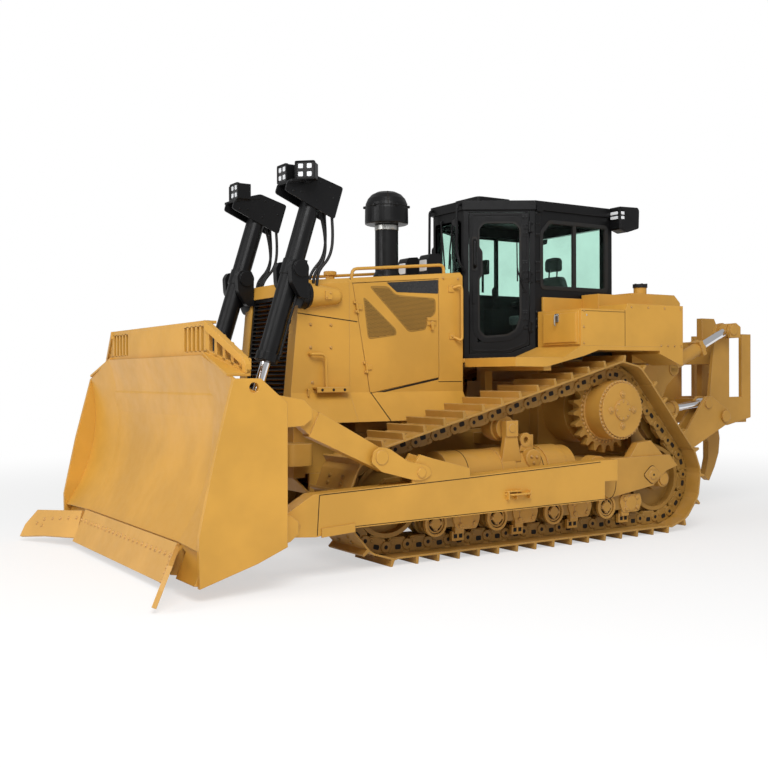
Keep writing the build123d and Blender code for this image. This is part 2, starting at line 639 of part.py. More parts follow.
def engine_door():
    leaf = side_plate(engine_door_outline(0), HOOD_HALF - HOOD_WALL, HOOD_HALF)
    leaf += box(DOOR_REAR_X + 40, DOOR_REAR_X + 150, HOOD_HALF - 1, HOOD_HALF + 14, 2290, 2370)
    for z in HINGE_PLACES:
        x = door_edge_x(z)
        strap = box(x - 60, x - 6, HOOD_HALF - 2, HOOD_HALF + 14, z - 24, z + 24)
        leaf += engine_hinge(z - 30 + SEAT / 2, z + 30 - SEAT / 2) + strap
    return leaf


def intake_stack():
    pipe = shaft_z(STACK_X, STACK_Y, STACK_RADIUS, hood_top(STACK_X) + 6, 3430)
    foot = shaft_z(STACK_X, STACK_Y, STACK_RADIUS + 40, hood_top(STACK_X) - 6, hood_top(STACK_X) + 40)
    profile = Polyline((0, 3420), (150, 3420), (200, 3478), (262, 3490), (262, 3560), (240, 3640), (150, 3700), (0, 3712),
                       close=True)
    cap = revolve(Plane.XZ * make_face(profile), Axis.Z)
    under = loft([hood_section(HOOD_REAR_X - 200, -SEAT), hood_section(GUARD_REAR_X + 200, -SEAT)])
    return pipe + foot + Pos(STACK_X, STACK_Y, 0) * cap - under


def handrails():
    y = HOOD_HALF - 130
    rail_z = 330
    shape = None
    for x0, x1 in ((860, 1780),):
        a = (x0, y, hood_top(x0) + rail_z)
        b = (x1, y, hood_top(x1) + rail_z)
        rail = shaft(a, b, RAIL_RADIUS) + Pos(*a) * Sphere(RAIL_RADIUS) + Pos(*b) * Sphere(RAIL_RADIUS)
        for x in (x0, (x0 + x1) / 2, x1):
            rail += shaft((x, y, hood_top(x) + SEAT + 2), (x, y, hood_top(x) + rail_z), RAIL_RADIUS)
            rail += box(x - 40, x + 40, y - 30, y + 30, hood_top(x + 40) + SEAT, hood_top(x - 40) + 14)
        shape = rail
    under = loft([hood_section(HOOD_REAR_X - 200, -SEAT), hood_section(GUARD_REAR_X + 200, -SEAT)])
    return both(shape - under)


# Cab: a narrow windscreen, angled doors and flat sides

def cab_plan(inset=0.0):
    """The cab's outline from above, a wall smaller all round when inset."""
    run = CAB_FRONT_X - CAB_CORNER_X
    rise = CAB_HALF - CAB_NOSE_HALF
    length = math.hypot(run, rise)
    # the angled side moves inward by the inset along its normal
    front = CAB_FRONT_X - inset
    half = CAB_HALF - inset
    # points of the angled line: y = nose + (front - x) * rise / run, moved inward
    shift = inset * length / run
    nose = CAB_NOSE_HALF + inset * rise / run - shift
    corner = CAB_FRONT_X - (half - (CAB_NOSE_HALF - shift)) * run / rise
    rear = CAB_REAR_X + inset
    return ((front, nose), (corner, half), (rear, half), (rear, -half), (corner, -half), (front, -nose))


def door_plane():
    """Outer plane of the left door: x runs forward from the hinge post, y up, z inward."""
    run = CAB_FRONT_X - CAB_CORNER_X
    rise = CAB_NOSE_HALF - CAB_HALF
    length = math.hypot(run, rise)
    return Plane(origin=(CAB_CORNER_X, CAB_HALF, 0), x_dir=(run / length, rise / length, 0),
                 z_dir=(rise / length, -run / length, 0))


def door_length():
    return math.hypot(CAB_FRONT_X - CAB_CORNER_X, CAB_HALF - CAB_NOSE_HALF)


def door_outline(gap=0.0, frame=0.0):
    """Outline in the door's plane; a gap makes the doorway and a frame makes the window."""
    grow = gap - frame
    rear = CAB_EDGE - grow
    front = door_length() - CAB_EDGE + grow
    top = CAB_DOOR_TOP_Z + grow
    if frame:
        low = CAB_DOOR_LOW_REAR_Z + frame
        return ((rear, low + 110), (rear + 130, low), (front, low - 60), (front, top), (rear, top))
    return ((rear, CAB_DOOR_LOW_REAR_Z - grow), (rear + 230, CAB_DOOR_LOW_FRONT_Z - grow),
            (front, CAB_DOOR_LOW_FRONT_Z - grow), (front, top), (rear, top))


def door_solid(outline, depth0, depth1):
    """A plate in the left door's plane between two depths from its outer face."""
    return extrude(door_plane().offset(depth0) * flat(outline), depth1 - depth0)


def door_block(u0, u1, z0, z1, depth0, depth1):
    return door_solid(((u0, z0), (u1, z0), (u1, z1), (u0, z1)), depth0, depth1)


def cab_hinge(z0, z1):
    """A stretch of the left cab door's hinge, just outside the leaf's rear edge."""
    axis = door_plane().from_local_coords(Vector(CAB_EDGE - 3, 0, -HINGE_OUT - 4))
    return shaft_z(axis.X, axis.Y, HINGE_RADIUS + 3, z0, z1)


def side_window(grow=0.0):
    rear = CAB_REAR_X + 90 - grow
    front = CAB_CORNER_X - 100 + grow
    low = CAB_SILL_Z - grow
    top = CAB_WINDOW_TOP_Z + grow
    return ((rear, low), (front, low), (front, top - 120), (front - 120, top), (rear, top))


def cab_shell():
    walls = level_plate(cab_plan(), CAB_FLOOR_Z, CAB_ROOF_Z) - level_plate(cab_plan(CAB_WALL), CAB_FLOOR_Z + 60, CAB_ROOF_Z + 1)
    doorway = door_solid(door_outline(DOOR_GAP), -20, CAB_WALL + 30)
    walls -= both(doorway)
    walls -= side_plate(side_window(), -CAB_HALF - 1, CAB_HALF + 1)
    walls -= box(CAB_FRONT_X - CAB_WALL - 1, CAB_FRONT_X + 1, -WINDSCREEN_HALF, WINDSCREEN_HALF, WINDSCREEN_LOW_Z, CAB_WINDOW_TOP_Z)
    walls -= box(CAB_REAR_X - 1, CAB_REAR_X + CAB_WALL + 1, -CAB_HALF + 130, CAB_HALF - 130, CAB_SILL_Z, CAB_WINDOW_TOP_Z)
    for z in CAB_HINGE_PLACES:
        for z0 in (z - 60 - SEAT / 2, z + 30 + SEAT / 2):
            strap = door_block(CAB_EDGE - 40, CAB_EDGE - 12, z0 + 4, z0 + 26, -20, 2)
            walls += both(cab_hinge(z0, z0 + 30) + strap)
    return walls


def cab_roof():
    plan = [(x, y) for x, y in cab_plan(-25)]
    roof = level_plate(plan, CAB_ROOF_Z + SEAT, CAB_TOP_Z)
    hatch = level_plate(((-1150, -330), (-560, -330), (-560, 330), (-1150, 330)), CAB_TOP_Z - 1, CAB_TOP_Z + 26, 40)
    return roof + hatch


def cab_glass():
    depth0, depth1 = CAB_WALL / 2 - GLASS / 2, CAB_WALL / 2 + GLASS / 2
    pane = side_plate(side_window(-SEAT), CAB_HALF - depth1, CAB_HALF - depth0)
    front = box(CAB_FRONT_X - depth1, CAB_FRONT_X - depth0, -WINDSCREEN_HALF + SEAT, WINDSCREEN_HALF - SEAT,
                WINDSCREEN_LOW_Z + SEAT, CAB_WINDOW_TOP_Z - SEAT)
    rear = box(CAB_REAR_X + depth0, CAB_REAR_X + depth1, -CAB_HALF + 130 + SEAT, CAB_HALF - 130 - SEAT,
               CAB_SILL_Z + SEAT, CAB_WINDOW_TOP_Z - SEAT)
    return both(pane) + front + rear


def cab_door():
    leaf = door_solid(door_outline(), 0, DOOR_LEAF) - door_solid(door_outline(0, DOOR_FRAME), -1, DOOR_LEAF + 1)
    handle = door_solid(((door_length() - CAB_EDGE - 70, 2560), (door_length() - CAB_EDGE - 30, 2560),
                         (door_length() - CAB_EDGE - 30, 2720), (door_length() - CAB_EDGE - 70, 2720)), -22, 1)
    shape = leaf + handle
    for z in CAB_HINGE_PLACES:
        shape += cab_hinge(z - 30 + SEAT / 2, z + 30 - SEAT / 2)
        shape += door_block(CAB_EDGE + 6, CAB_EDGE + 60, z - 24, z + 24, -18, 2)
    return shape


def door_glass():
    return door_solid(door_outline(0, DOOR_FRAME + SEAT), DOOR_LEAF / 2 - GLASS / 2, DOOR_LEAF / 2 + GLASS / 2)


def seat():
    floor = CAB_FLOOR_Z + 60 + SEAT
    post = box(-1250, -950, -180, 180, floor, 2330)
    base = box(-1360, -840, -270, 270, 2330 - 1, 2480)
    back = side_plate(((-1400, 2460), (-1240, 2460), (-1280, 2980), (-1400, 2980)), -260, 260)
    head = box(-1390, -1290, -150, 150, 2990 - 20, 3190)
    return post + base + back + head


def console():
    floor = CAB_FLOOR_Z + 60 + SEAT
    dash = side_plate(((-150, floor), (40, floor), (60, 2640), (-40, 2720), (-130, 2600)), -170, 170)
    shape = dash
    for side in (-1, 1):
        shape += box(-1250, -640, side * 400 - 90, side * 400 + 90, floor, 2560)
        shape += shaft_z(-760, side * 400, 16, 2555, 2700) + Pos(-760, side * 400, 2720) * Sphere(34)
    return shape


# Platforms, tanks and boxes beside the cab

def platforms():
    top = PLATFORM_TOP_Z
    low = top - PLATFORM_THICK
    inner = HOOD_HALF - 20
    floor = box(CAB_REAR_X, HOOD_REAR_X - SEAT, -inner - 1, inner + 1, CASE_TOP_Z + SEAT, top)
    deck = side_plate(((PLATFORM_FRONT_X, low), (PLATFORM_FRONT_X, top), (DECK_RISE_X, top), (TANK_FRONT_X, TANK_LOW_Z - SEAT),
                       (-1620, TANK_LOW_Z - SEAT), (-1620, TANK_LOW_Z - PLATFORM_THICK),
                       (TANK_FRONT_X, TANK_LOW_Z - PLATFORM_THICK), (DECK_RISE_X, low)), inner, PLATFORM_HALF)
    skirt = side_plate(((PLATFORM_FRONT_X, top - 92), (PLATFORM_FRONT_X, top), (DECK_RISE_X, top), (TANK_FRONT_X, TANK_LOW_Z - SEAT),
                        (-841, TANK_LOW_Z - SEAT), (-487, 1966), (35, top - 96)), PLATFORM_HALF - 12, PLATFORM_HALF)
    lip = box(PLATFORM_FRONT_X - 12, PLATFORM_FRONT_X, inner, PLATFORM_HALF, top - 92, top)
    bearer = box(-60, 40, 300, PLATFORM_HALF - 40, low - 90, low + 1)
    column = box(-60, 40, 330, 420, RAIL_TOP_Z + SEAT, low)
    room = level_plate(cab_plan(-SEAT), top, TANK_LOW_Z + 200)
    return floor + both(deck + skirt + lip + bearer + column) - room


def tank_doors():
    body = box(TANK_FRONT_X + SEAT, TANK_FRONT_X + 40, CAB_HALF + 160, PLATFORM_HALF - 50, TANK_LOW_Z + 40, TANK_LIP_Z - 40)
    frame = box(TANK_FRONT_X + SEAT, TANK_FRONT_X + 22, CAB_HALF + 130, PLATFORM_HALF - 20, TANK_LOW_Z + 14, TANK_LIP_Z - 14)
    return both(body + frame)


def side_tanks():
    outline = ((TANK_FRONT_X, TANK_LOW_Z), (TANK_FRONT_X, TANK_LIP_Z), (TANK_STEP_X, TANK_LIP_Z),
               (TANK_STEP_X - 35, TANK_PANEL_TOP_Z), (TANK_REAR_X, TANK_PANEL_TOP_Z), (TANK_REAR_X, 1870),
               (-1950, 1870), (-1620, 1995), (-1620, TANK_LOW_Z))
    body = side_plate(outline, FUEL_HALF + SEAT, TANK_PANEL_Y)
    inner = box(TANK_FRONT_X - 660, TANK_FRONT_X, CAB_HALF + 30, FUEL_HALF + 1, TANK_LOW_Z, TANK_LIP_Z)
    side = box(TANK_FRONT_X - 660, TANK_FRONT_X - 80, CAB_HALF + SEAT, CAB_HALF + 31, TANK_LOW_Z + SEAT, 2628)
    return both(body + inner + side)


def fuel_tank():
    front = CAB_REAR_X - 30
    low = CASE_TOP_Z + SEAT
    body = side_plate(((front, low), (front, FUEL_TOP_Z), (-2330, FUEL_TOP_Z), (-2430, 2612), (-2430, 2150), (-2240, low)),
                      -FUEL_HALF, FUEL_HALF)
    wing = box(front - 1, TANK_FRONT_X - 660 - SEAT, CAB_HALF + 18, FUEL_HALF, TANK_LOW_Z, FUEL_TOP_Z - 30)
    neck = shaft_z(-1974, 800, 75, FUEL_TOP_Z - 1, FUEL_TOP_Z + 90)
    return body + both(wing) + neck


def cab_lamps():
    rear = CAB_REAR_X - 25
    plate = box(rear - 200, rear - 25, 640, 860, CAB_TOP_Z - 6, CAB_TOP_Z + 10)
    plate += box(rear - 60, rear - SEAT, 640, 735, CAB_TOP_Z - 40, CAB_TOP_Z + 10)
    lamp = box(rear - 200, rear - 40, 650, 850, CAB_TOP_Z - 210, CAB_TOP_Z - 5)
    return both(plate + lamp)


# Blade

def circle_through(a, b, c):
    """Centre and radius of the circle through three points."""
    ax, ay = a
    bx, by = b
    cx, cy = c
    d = 2 * (ax * (by - cy) + bx * (cy - ay) + cx * (ay - by))
    x = ((ax ** 2 + ay ** 2) * (by - cy) + (bx ** 2 + by ** 2) * (cy - ay) + (cx ** 2 + cy ** 2) * (ay - by)) / d
    y = ((ax ** 2 + ay ** 2) * (cx - bx) + (bx ** 2 + by ** 2) * (ax - cx) + (cx ** 2 + cy ** 2) * (bx - ax)) / d
    return x, y, math.hypot(ax - x, ay - y)


MOULD_X, MOULD_Z, MOULD_RADIUS = circle_through((MOULD_TOP_X, MOULD_TOP_Z), (MOULD_MID_X, MOULD_MID_Z),
                                                (MOULD_LOW_X, MOULD_LOW_Z))


def mould_x(z, depth=0.0):
    """Where the mouldboard's front face stands at a height, or a surface behind it."""
    return MOULD_X - math.sqrt((MOULD_RADIUS + depth) ** 2 - (z - MOULD_Z) ** 2)


def mould_section(y, top, advance, depth0=0.0, depth1=None):
    """The mouldboard's section at a place across, as a face in a plane across Y."""
    depth1 = MOULD_WALL if depth1 is None else depth1
    middle = (top + MOULD_LOW_Z) / 2
    front = [(mould_x(z, depth0) + advance, z) for z in (MOULD_LOW_Z, middle, top)]
    back = [(mould_x(z, depth1) + advance, z) for z in (top, middle, MOULD_LOW_Z)]
    wire = Wire([ThreePointArc(*front), Line(front[2], back[0]), ThreePointArc(*back), Line(back[2], front[0])])
    return Plane(origin=(0, y, 0), x_dir=(1, 0, 0), z_dir=(0, -1, 0)) * make_face(wire)


def mouldboard():
    skin = loft([mould_section(-CENTRE_HALF, MOULD_TOP_Z, 0), mould_section(CENTRE_HALF, MOULD_TOP_Z, 0)])
    wing = loft([mould_section(CENTRE_HALF, MOULD_TOP_Z, 0), mould_section(WING_Y, WING_TOP_Z, WING_ADVANCE)])
    skin += both(wing)
    lip = side_plate(((3870, 430), (3922, 381), (4045, 130), (3960, 120), (3520, 300), (3440, 480), (3440, 900),
                      (3602, 980), (3640, 800)), -WING_Y, WING_Y)
    upper = side_plate(((3602, 1300), (3480, 1380), (3480, 1620), (3620, 1700), (3640, 1600)), -WING_Y, WING_Y)
    shape = skin + lip + upper
    for y in (0, 330, 800):
        rib = side_plate(((3440, 880), (3480, 1400), (mould_x(1400) - 8, 1400), (mould_x(1210) - 8, 1210), (mould_x(880) - 8, 880)),
                         y - 20, y + 20)
        shape += both(rib) if y else rib
    # ears for the lift cylinders, the push arms and the braces
    ear = side_plate(((3460, 480), (3200, 530), (3095, 590), (3090, 690), (3180, 750), (3460, 860)), -20, 20)
    for y in (LIFT_Y - LIFT_EYE_WIDTH / 2 - 26, LIFT_Y + LIFT_EYE_WIDTH / 2 + 26):
        shape += both(Pos(0, y, 0) * ear)
    nose = side_plate(((3460, 310), (3140, 380), (3060, 440), (3060, 540), (3140, 600), (3460, 660)), -50, 50)
    for y in (ARM_OUTER_Y + 50 + SEAT, ARM_OUTER_Y - ARM_THICK - 50 - SEAT):
        shape += both(Pos(0, y, 0) * nose)
    shape += both(brace_ears())
    return shape - edge_solids(60, EDGE_THICK + SEAT)


def edge_plane(origin, along):
    """A plane on the front of the edge: x along the edge, y up its slope, z out of its back."""
    up = Vector(3925 - EDGE_LOW_X, 0, 372 - EDGE_LOW_Z).normalized()
    x_dir = Vector(*along).normalized()
    return Plane(origin=origin, x_dir=x_dir, z_dir=x_dir.cross(up))


def edge_solids(front, back):
    """The cutting edge and its end bits, from a depth before their face to one behind it."""
    up = math.hypot(3925 - EDGE_LOW_X, 372 - EDGE_LOW_Z)
    half = CENTRE_HALF + 50
    middle = edge_plane((EDGE_LOW_X, 0, EDGE_LOW_Z), (0, 1, 0)).offset(-front)
    edge = extrude(middle * flat(((-half, 0), (half, 0), (half, up), (-half, up))), front + back)
    end = edge_plane((EDGE_LOW_X, half, EDGE_LOW_Z), (END_BIT_RUN, WING_Y - half + 170, 0)).offset(-front)
    bit = extrude(end * flat(((-20, 40), (500, 20), (850, -14), (820, 120), (690, 290), (0, up - 20))), front + back)
    return edge + both(bit)


def cutting_edge():
    return edge_solids(0, EDGE_THICK)


def blade_side_plates():
    plate = side_plate(((3246, 1543), (3335, 1617), (3484, 1745), (3719, 1746), (3890, 1100), (4020, 500), (4015, 110),
                        (3515, 262), (3252, 370)), WING_Y + SEAT, WING_Y + SIDE_PLATE)
    hole = shaft_y(EAR_HOLE_X, EAR_HOLE_Z, EAR_HOLE_RADIUS, WING_Y, WING_Y + SIDE_PLATE + 1)
    return both(plate - hole)


def rock_guard():
    top = ((-CENTRE_HALF, MOULD_TOP_Z + SEAT), (-CENTRE_HALF - 300, WING_TOP_Z + 140), (-CENTRE_HALF - 240, 2050),
           (-CENTRE_HALF, GUARD_TOP_Z), (CENTRE_HALF, GUARD_TOP_Z), (CENTRE_HALF + 240, 2050),
           (CENTRE_HALF + 300, WING_TOP_Z + 140), (CENTRE_HALF, MOULD_TOP_Z + SEAT))
    return cross_plate(top, 3660, 3700)


def push_arms():
    outline = ((-561, 467), (-561, 662), (-745, 662), (-745, 880), (-508, 880), (1187, 810), (2866, 746), (2951, 700),
               (3140, 590), (3175, 490), (3120, 400), (2839, 379), (2496, 426))
    arm = side_plate(outline, ARM_OUTER_Y - ARM_THICK, ARM_OUTER_Y)
    arm -= shaft_y(ARM_PIVOT_X, ARM_PIVOT_Z, TRUNNION_PIN + 1, ARM_OUTER_Y - ARM_THICK - 1, ARM_OUTER_Y - 24)
    clevis = side_plate(((1188, 770), (1188, 889), (1616, 1000), (1756, 1041), (1815, 960), (1850, 750)), -15, 15)
    foot = box(1190, 1850, BRACE_Y - BRACE_GAP - 30, ARM_OUTER_Y, 740, 782)
    plates = Pos(0, BRACE_Y - BRACE_GAP - 15, 0) * clevis + Pos(0, BRACE_Y + BRACE_GAP + 15, 0) * clevis
    return both(arm + foot + plates)


def tilt_brace():
    body = side_plate(((2781, 1450), (2883, 1242), (2127, 897), (2060, 1000), (2150, 1110)), BRACE_Y - 62, BRACE_Y + 62)
    front = shaft_y(BRACE_FRONT_X, BRACE_FRONT_Z, 95, BRACE_Y - BRACE_GAP + SEAT, BRACE_Y + BRACE_GAP - SEAT)
    front += side_plate(((2780, 1440), (2870, 1250), (3010, 1370), (2940, 1540)), BRACE_Y - 50, BRACE_Y + 50)
    rear = shaft_y(BRACE_REAR_X, BRACE_REAR_Z, 88, BRACE_Y - BRACE_GAP + SEAT, BRACE_Y + BRACE_GAP - SEAT)
    rear += side_plate(((1690, 940), (1760, 815), (2180, 930), (2140, 1080)), BRACE_Y - 50, BRACE_Y + 50)
    return body + front + rear


def tilt_cylinder():
    run = Vector(BRACE_FRONT_X - BRACE_REAR_X, 0, BRACE_FRONT_Z - BRACE_REAR_Z)
    unit = run.normalized()
    start = Vector(BRACE_REAR_X, -BRACE_Y, BRACE_REAR_Z)

    def along(distance):
        return start + unit * distance
    shape = shaft(along(110), along(880), 64) + shaft(along(880), along(940), 64)
    shape += shaft(along(900), along(run.length), 42)
    shape += shaft_y(BRACE_REAR_X, BRACE_REAR_Z, 88, -BRACE_Y - BRACE_GAP + SEAT, -BRACE_Y + BRACE_GAP - SEAT)
    shape += shaft(along(40), along(130), 55)
    shape += shaft_y(BRACE_FRONT_X, BRACE_FRONT_Z, 95, -BRACE_Y - BRACE_GAP + SEAT, -BRACE_Y + BRACE_GAP - SEAT)
    return shape


def brace_ears():
    ear = side_plate(((3600, 1300), (3640, 1680), (2960, 1560), (2880, 1480), (2880, 1400), (2960, 1340)), -24, 24)
    return Pos(0, BRACE_Y - BRACE_GAP - 24, 0) * ear + Pos(0, BRACE_Y + BRACE_GAP + 24, 0) * ear


# Lift cylinders

LIFT_RUN = math.hypot(LIFT_EYE_X - LIFT_PIVOT_X, LIFT_EYE_Z - LIFT_PIVOT_Z)
LIFT_DIR = ((LIFT_EYE_X - LIFT_PIVOT_X) / LIFT_RUN, (LIFT_EYE_Z - LIFT_PIVOT_Z) / LIFT_RUN)


def lift_point(distance):
    """A point on the cylinder's axis, measured from its pivot down toward the rod's eye."""
    return (LIFT_PIVOT_X + LIFT_DIR[0] * distance, LIFT_Y, LIFT_PIVOT_Z + LIFT_DIR[1] * distance)


def lift_barrel():
    bore = LIFT_BARREL_RADIUS - LIFT_BARREL_WALL
    shape = shaft(lift_point(-LIFT_BARREL_TOP), lift_point(LIFT_GLAND - 70), LIFT_BARREL_RADIUS)
    shape += shaft(lift_point(LIFT_GLAND - 75), lift_point(LIFT_GLAND), LIFT_BARREL_RADIUS + 14)
    shape += shaft(lift_point(-90), lift_point(62), LIFT_BARREL_RADIUS + 10)
    shape += shaft_y(LIFT_PIVOT_X, LIFT_PIVOT_Z, TRUNNION_BOSS, LIFT_Y - 190, LIFT_Y + 190)
    shape -= shaft(lift_point(-LIFT_BARREL_TOP + 30), lift_point(LIFT_GLAND - 60), bore)
    shape -= shaft(lift_point(LIFT_GLAND - 61), lift_point(LIFT_GLAND + 1), LIFT_ROD_RADIUS + 0.5)
    # the plates over the barrel's top that carry the lamps
    outline = ((2011, 3600), (2111, 3284), (2646, 3520), (2610, 3620), (2320, 3696))
    for y in (LIFT_Y - LAMP_PLATE_Y, LIFT_Y + LAMP_PLATE_Y):
        shape += side_plate(outline, y - 8, y + 8)
    for x, z in ((2170, 3440), (2420, 3540)):
        shape += shaft_y(x, z, 26, LIFT_Y - LAMP_PLATE_Y, LIFT_Y + LAMP_PLATE_Y) - shaft(
            lift_point(-LIFT_BARREL_TOP + 30), lift_point(0), bore)
    for x, z in ((2400, 3668), (2560, 3612)):
        shape += box(x - 50, x + 60, LIFT_Y - LAMP_PLATE_Y - 8, LIFT_Y + LAMP_PLATE_Y + 8, z, z + 130)
    return shape


def lift_rod():
    rod = shaft(lift_point(LIFT_RUN - LIFT_ROD_LENGTH), lift_point(LIFT_RUN), LIFT_ROD_RADIUS)
    piston = shaft(lift_point(LIFT_RUN - LIFT_ROD_LENGTH), lift_point(LIFT_RUN - LIFT_ROD_LENGTH + 60),
                   LIFT_BARREL_RADIUS - LIFT_BARREL_WALL - 0.5)
    eye = shaft_y(LIFT_EYE_X, LIFT_EYE_Z, LIFT_EYE_RADIUS, LIFT_Y - LIFT_EYE_WIDTH / 2, LIFT_Y + LIFT_EYE_WIDTH / 2)
    return rod + piston + eye


# Ripper

RIP_TOP_X = RIP_LINK_X + RIP_RISE_X
RIP_TOP_Z = RIP_LINK_Z + RIP_RISE_Z
RIP_BEAM_TOP_X = RIP_BEAM_X + RIP_RISE_X
RIP_BEAM_TOP_Z = RIP_BEAM_Z + RIP_RISE_Z
RIP_INNER_Y = RIP_ARM_IN - PIVOT_GAP - RIP_PLATE / 2
RIP_OUTER_Y = RIP_ARM_OUT + PIVOT_GAP + RIP_PLATE / 2


def ripper_bracket():
    outline = ((CASE_REAR_X - SEAT, 600), (CASE_REAR_X - SEAT, 1880), (-2240, 1885), (-2600, 1990), (-2770, 1900),
               (-2770, 1790), (-2560, 1640), (-2400, 1300), (-2600, 860), (-2650, 720), (-2590, 600), (-2450, 570))
    plate = side_plate(outline, -RIP_PLATE / 2, RIP_PLATE / 2)
    shape = box(CASE_REAR_X - 36, CASE_REAR_X - SEAT, -CASE_HALF, CASE_HALF, 700, 1880)
    for y in (RIP_INNER_Y, RIP_OUTER_Y):
        shape += both(Pos(0, y, 0) * plate)
    shape += both(box(CASE_REAR_X - 36, CASE_REAR_X - SEAT, 0, RIP_OUTER_Y + 25, 1500, 1880))
    out = RIP_OUTER_Y + RIP_PLATE / 2 + 14
    lift_hole = shaft_y(RIP_LIFT_FRONT_X, RIP_LIFT_FRONT_Z, RIP_PIN + 1, RIP_INNER_Y - 60, out + 60)
    shape -= both(lift_hole)
    for x, z in ((RIP_LINK_X, RIP_LINK_Z), (RIP_TOP_X, RIP_TOP_Z)):
        shape += both(shaft_y(x, z, RIP_PIN, RIP_INNER_Y - 40, out))
        shape += both(shaft_y(x, z, RIP_PIN + 26, out - 15, out))
    return shape


def ripper_link():
    outline = ((-2530, 610), (-2900, 760), (-3690, 1110), (-3780, 1170), (-3790, 1290), (-3700, 1345), (-3440, 1490),
               (-3340, 1490), (-3260, 1400), (-2900, 980), (-2500, 825), (-2430, 760), (-2430, 650))
    inner = side_plate(outline, RIP_ARM_IN, RIP_ARM_IN + 35)
    outer = side_plate(outline, RIP_ARM_OUT - 35, RIP_ARM_OUT)
    front = side_plate(((-2530, 612), (-2900, 762), (-2900, 978), (-2500, 823), (-2432, 760), (-2432, 650)),
                       RIP_ARM_IN, RIP_ARM_OUT)
    spacer = shaft_y(RIP_BEAM_X, RIP_BEAM_Z, 88, RIP_ARM_IN, RIP_ARM_OUT)
    caps = shaft_y(RIP_LIFT_EYE_X, RIP_LIFT_EYE_Z, 62, RIP_ARM_OUT - 1, RIP_ARM_OUT + 20)
    arm = inner + outer + front + spacer + caps
    arm -= shaft_y(RIP_LINK_X, RIP_LINK_Z, RIP_PIN + 1, RIP_ARM_IN - 50, RIP_ARM_OUT + 50)
    arm -= shaft_y(RIP_BEAM_X, RIP_BEAM_Z, RIP_PIN + 1, RIP_ARM_IN - 50, RIP_ARM_OUT + 50)
    tube = shaft_y(-2960, 900, 92, -RIP_ARM_IN - 2, RIP_ARM_IN + 2)
    return both(arm) + tube


def ripper_beam():
    outline = ((-4450, 1192), (-4450, 2300), (-4269, 2300), (-4269, 1470), (-4020, 1470), (-4020, 2380), (-3900, 2440),
               (-3790, 2420), (-3740, 2300), (-3620, 1330), (-3600, 1200), (-3690, 1110), (-3986, 1100))
    plate = side_plate(outline, RIP_PLATE_Y - 25, RIP_PLATE_Y + 25)
    pocket = box(-4390, -3880, -RIP_PLATE_Y, RIP_PLATE_Y, 1130, 1440)
    pocket += box(-3990, -3760, -RIP_PLATE_Y, RIP_PLATE_Y, 1900, 2200)
    shape = both(plate) + pocket
    shape -= box(SHANK_REAR_X - SEAT, SHANK_FRONT_X + SEAT, -SHANK_HALF - SEAT, SHANK_HALF + SEAT, 1000, 2700)
    for x, z in ((RIP_BEAM_X, RIP_BEAM_Z), (RIP_BEAM_TOP_X, RIP_BEAM_TOP_Z)):
        shape += both(shaft_y(x, z, RIP_PIN, RIP_PLATE_Y - 30, RIP_ARM_OUT + 20))
    shape += both(shaft_y(RIP_BEAM_X, RIP_BEAM_Z, RIP_PIN + 26, RIP_ARM_OUT + 5, RIP_ARM_OUT + 24))
    ear = side_plate(((-3990, 2240), (-3990, 2380), (-3900, 2430), (-3800, 2420), (-3760, 2330), (-3800, 2240)),
                     RIP_PITCH_Y + 56, RIP_PITCH_Y + 100)
    shape += both(ear + box(-3990, -3950, RIP_PLATE_Y - 5, RIP_PITCH_Y + 100, 2240, 2370))
    return shape


def ripper_shank():
    outline = ((-3940, 2520), (-4180, 2520), (-4250, 2400), (-4250, 1100), (-4290, 900), (-4268, 702), (-4190, 520),
               (-4078, 336), (-3990, 390), (-4060, 640), (-4060, 860), (-3940, 1080))
    body = side_plate(outline, -SHANK_HALF, SHANK_HALF)
    for z in (1560, 1760):
        body -= shaft_y((SHANK_FRONT_X + SHANK_REAR_X) / 2, z, 42, -SHANK_HALF - 1, SHANK_HALF + 1)
    # the pin through the beam's pocket that holds the shank's load
    return body


def ripper_pitch_cylinders():
    run = Vector(RIP_BEAM_TOP_X - RIP_TOP_X, 0, RIP_BEAM_TOP_Z - RIP_TOP_Z)
    unit = run.normalized()
    start = Vector(RIP_TOP_X, RIP_PITCH_Y, RIP_TOP_Z)
    shape = shaft(start + unit * 60, start + unit * 640, 84) + shaft(start + unit * 630, start + unit * 700, 98)
    shape += shaft(start + unit * 600, start + unit * (run.length - 40), 46)
    for x, z in ((RIP_TOP_X, RIP_TOP_Z), (RIP_BEAM_TOP_X, RIP_BEAM_TOP_Z)):
        shape += shaft_y(x, z, 84, RIP_PITCH_Y - 50, RIP_PITCH_Y + 50)
    for x, z in ((RIP_TOP_X, RIP_TOP_Z), (RIP_BEAM_TOP_X, RIP_BEAM_TOP_Z)):
        shape -= shaft_y(x, z, RIP_PIN + 1, RIP_PITCH_Y - 60, RIP_PITCH_Y + 60)
    return both(shape)


RIP_LIFT_RUN = math.hypot(RIP_LIFT_EYE_X - RIP_LIFT_FRONT_X, RIP_LIFT_EYE_Z - RIP_LIFT_FRONT_Z)


def rip_lift_point(distance):
    """A point on the ripper's lift cylinder, measured from its front pin toward the rod's eye."""
    share = distance / RIP_LIFT_RUN
    return (RIP_LIFT_FRONT_X + (RIP_LIFT_EYE_X - RIP_LIFT_FRONT_X) * share, RIP_LIFT_Y,
            RIP_LIFT_FRONT_Z + (RIP_LIFT_EYE_Z - RIP_LIFT_FRONT_Z) * share)


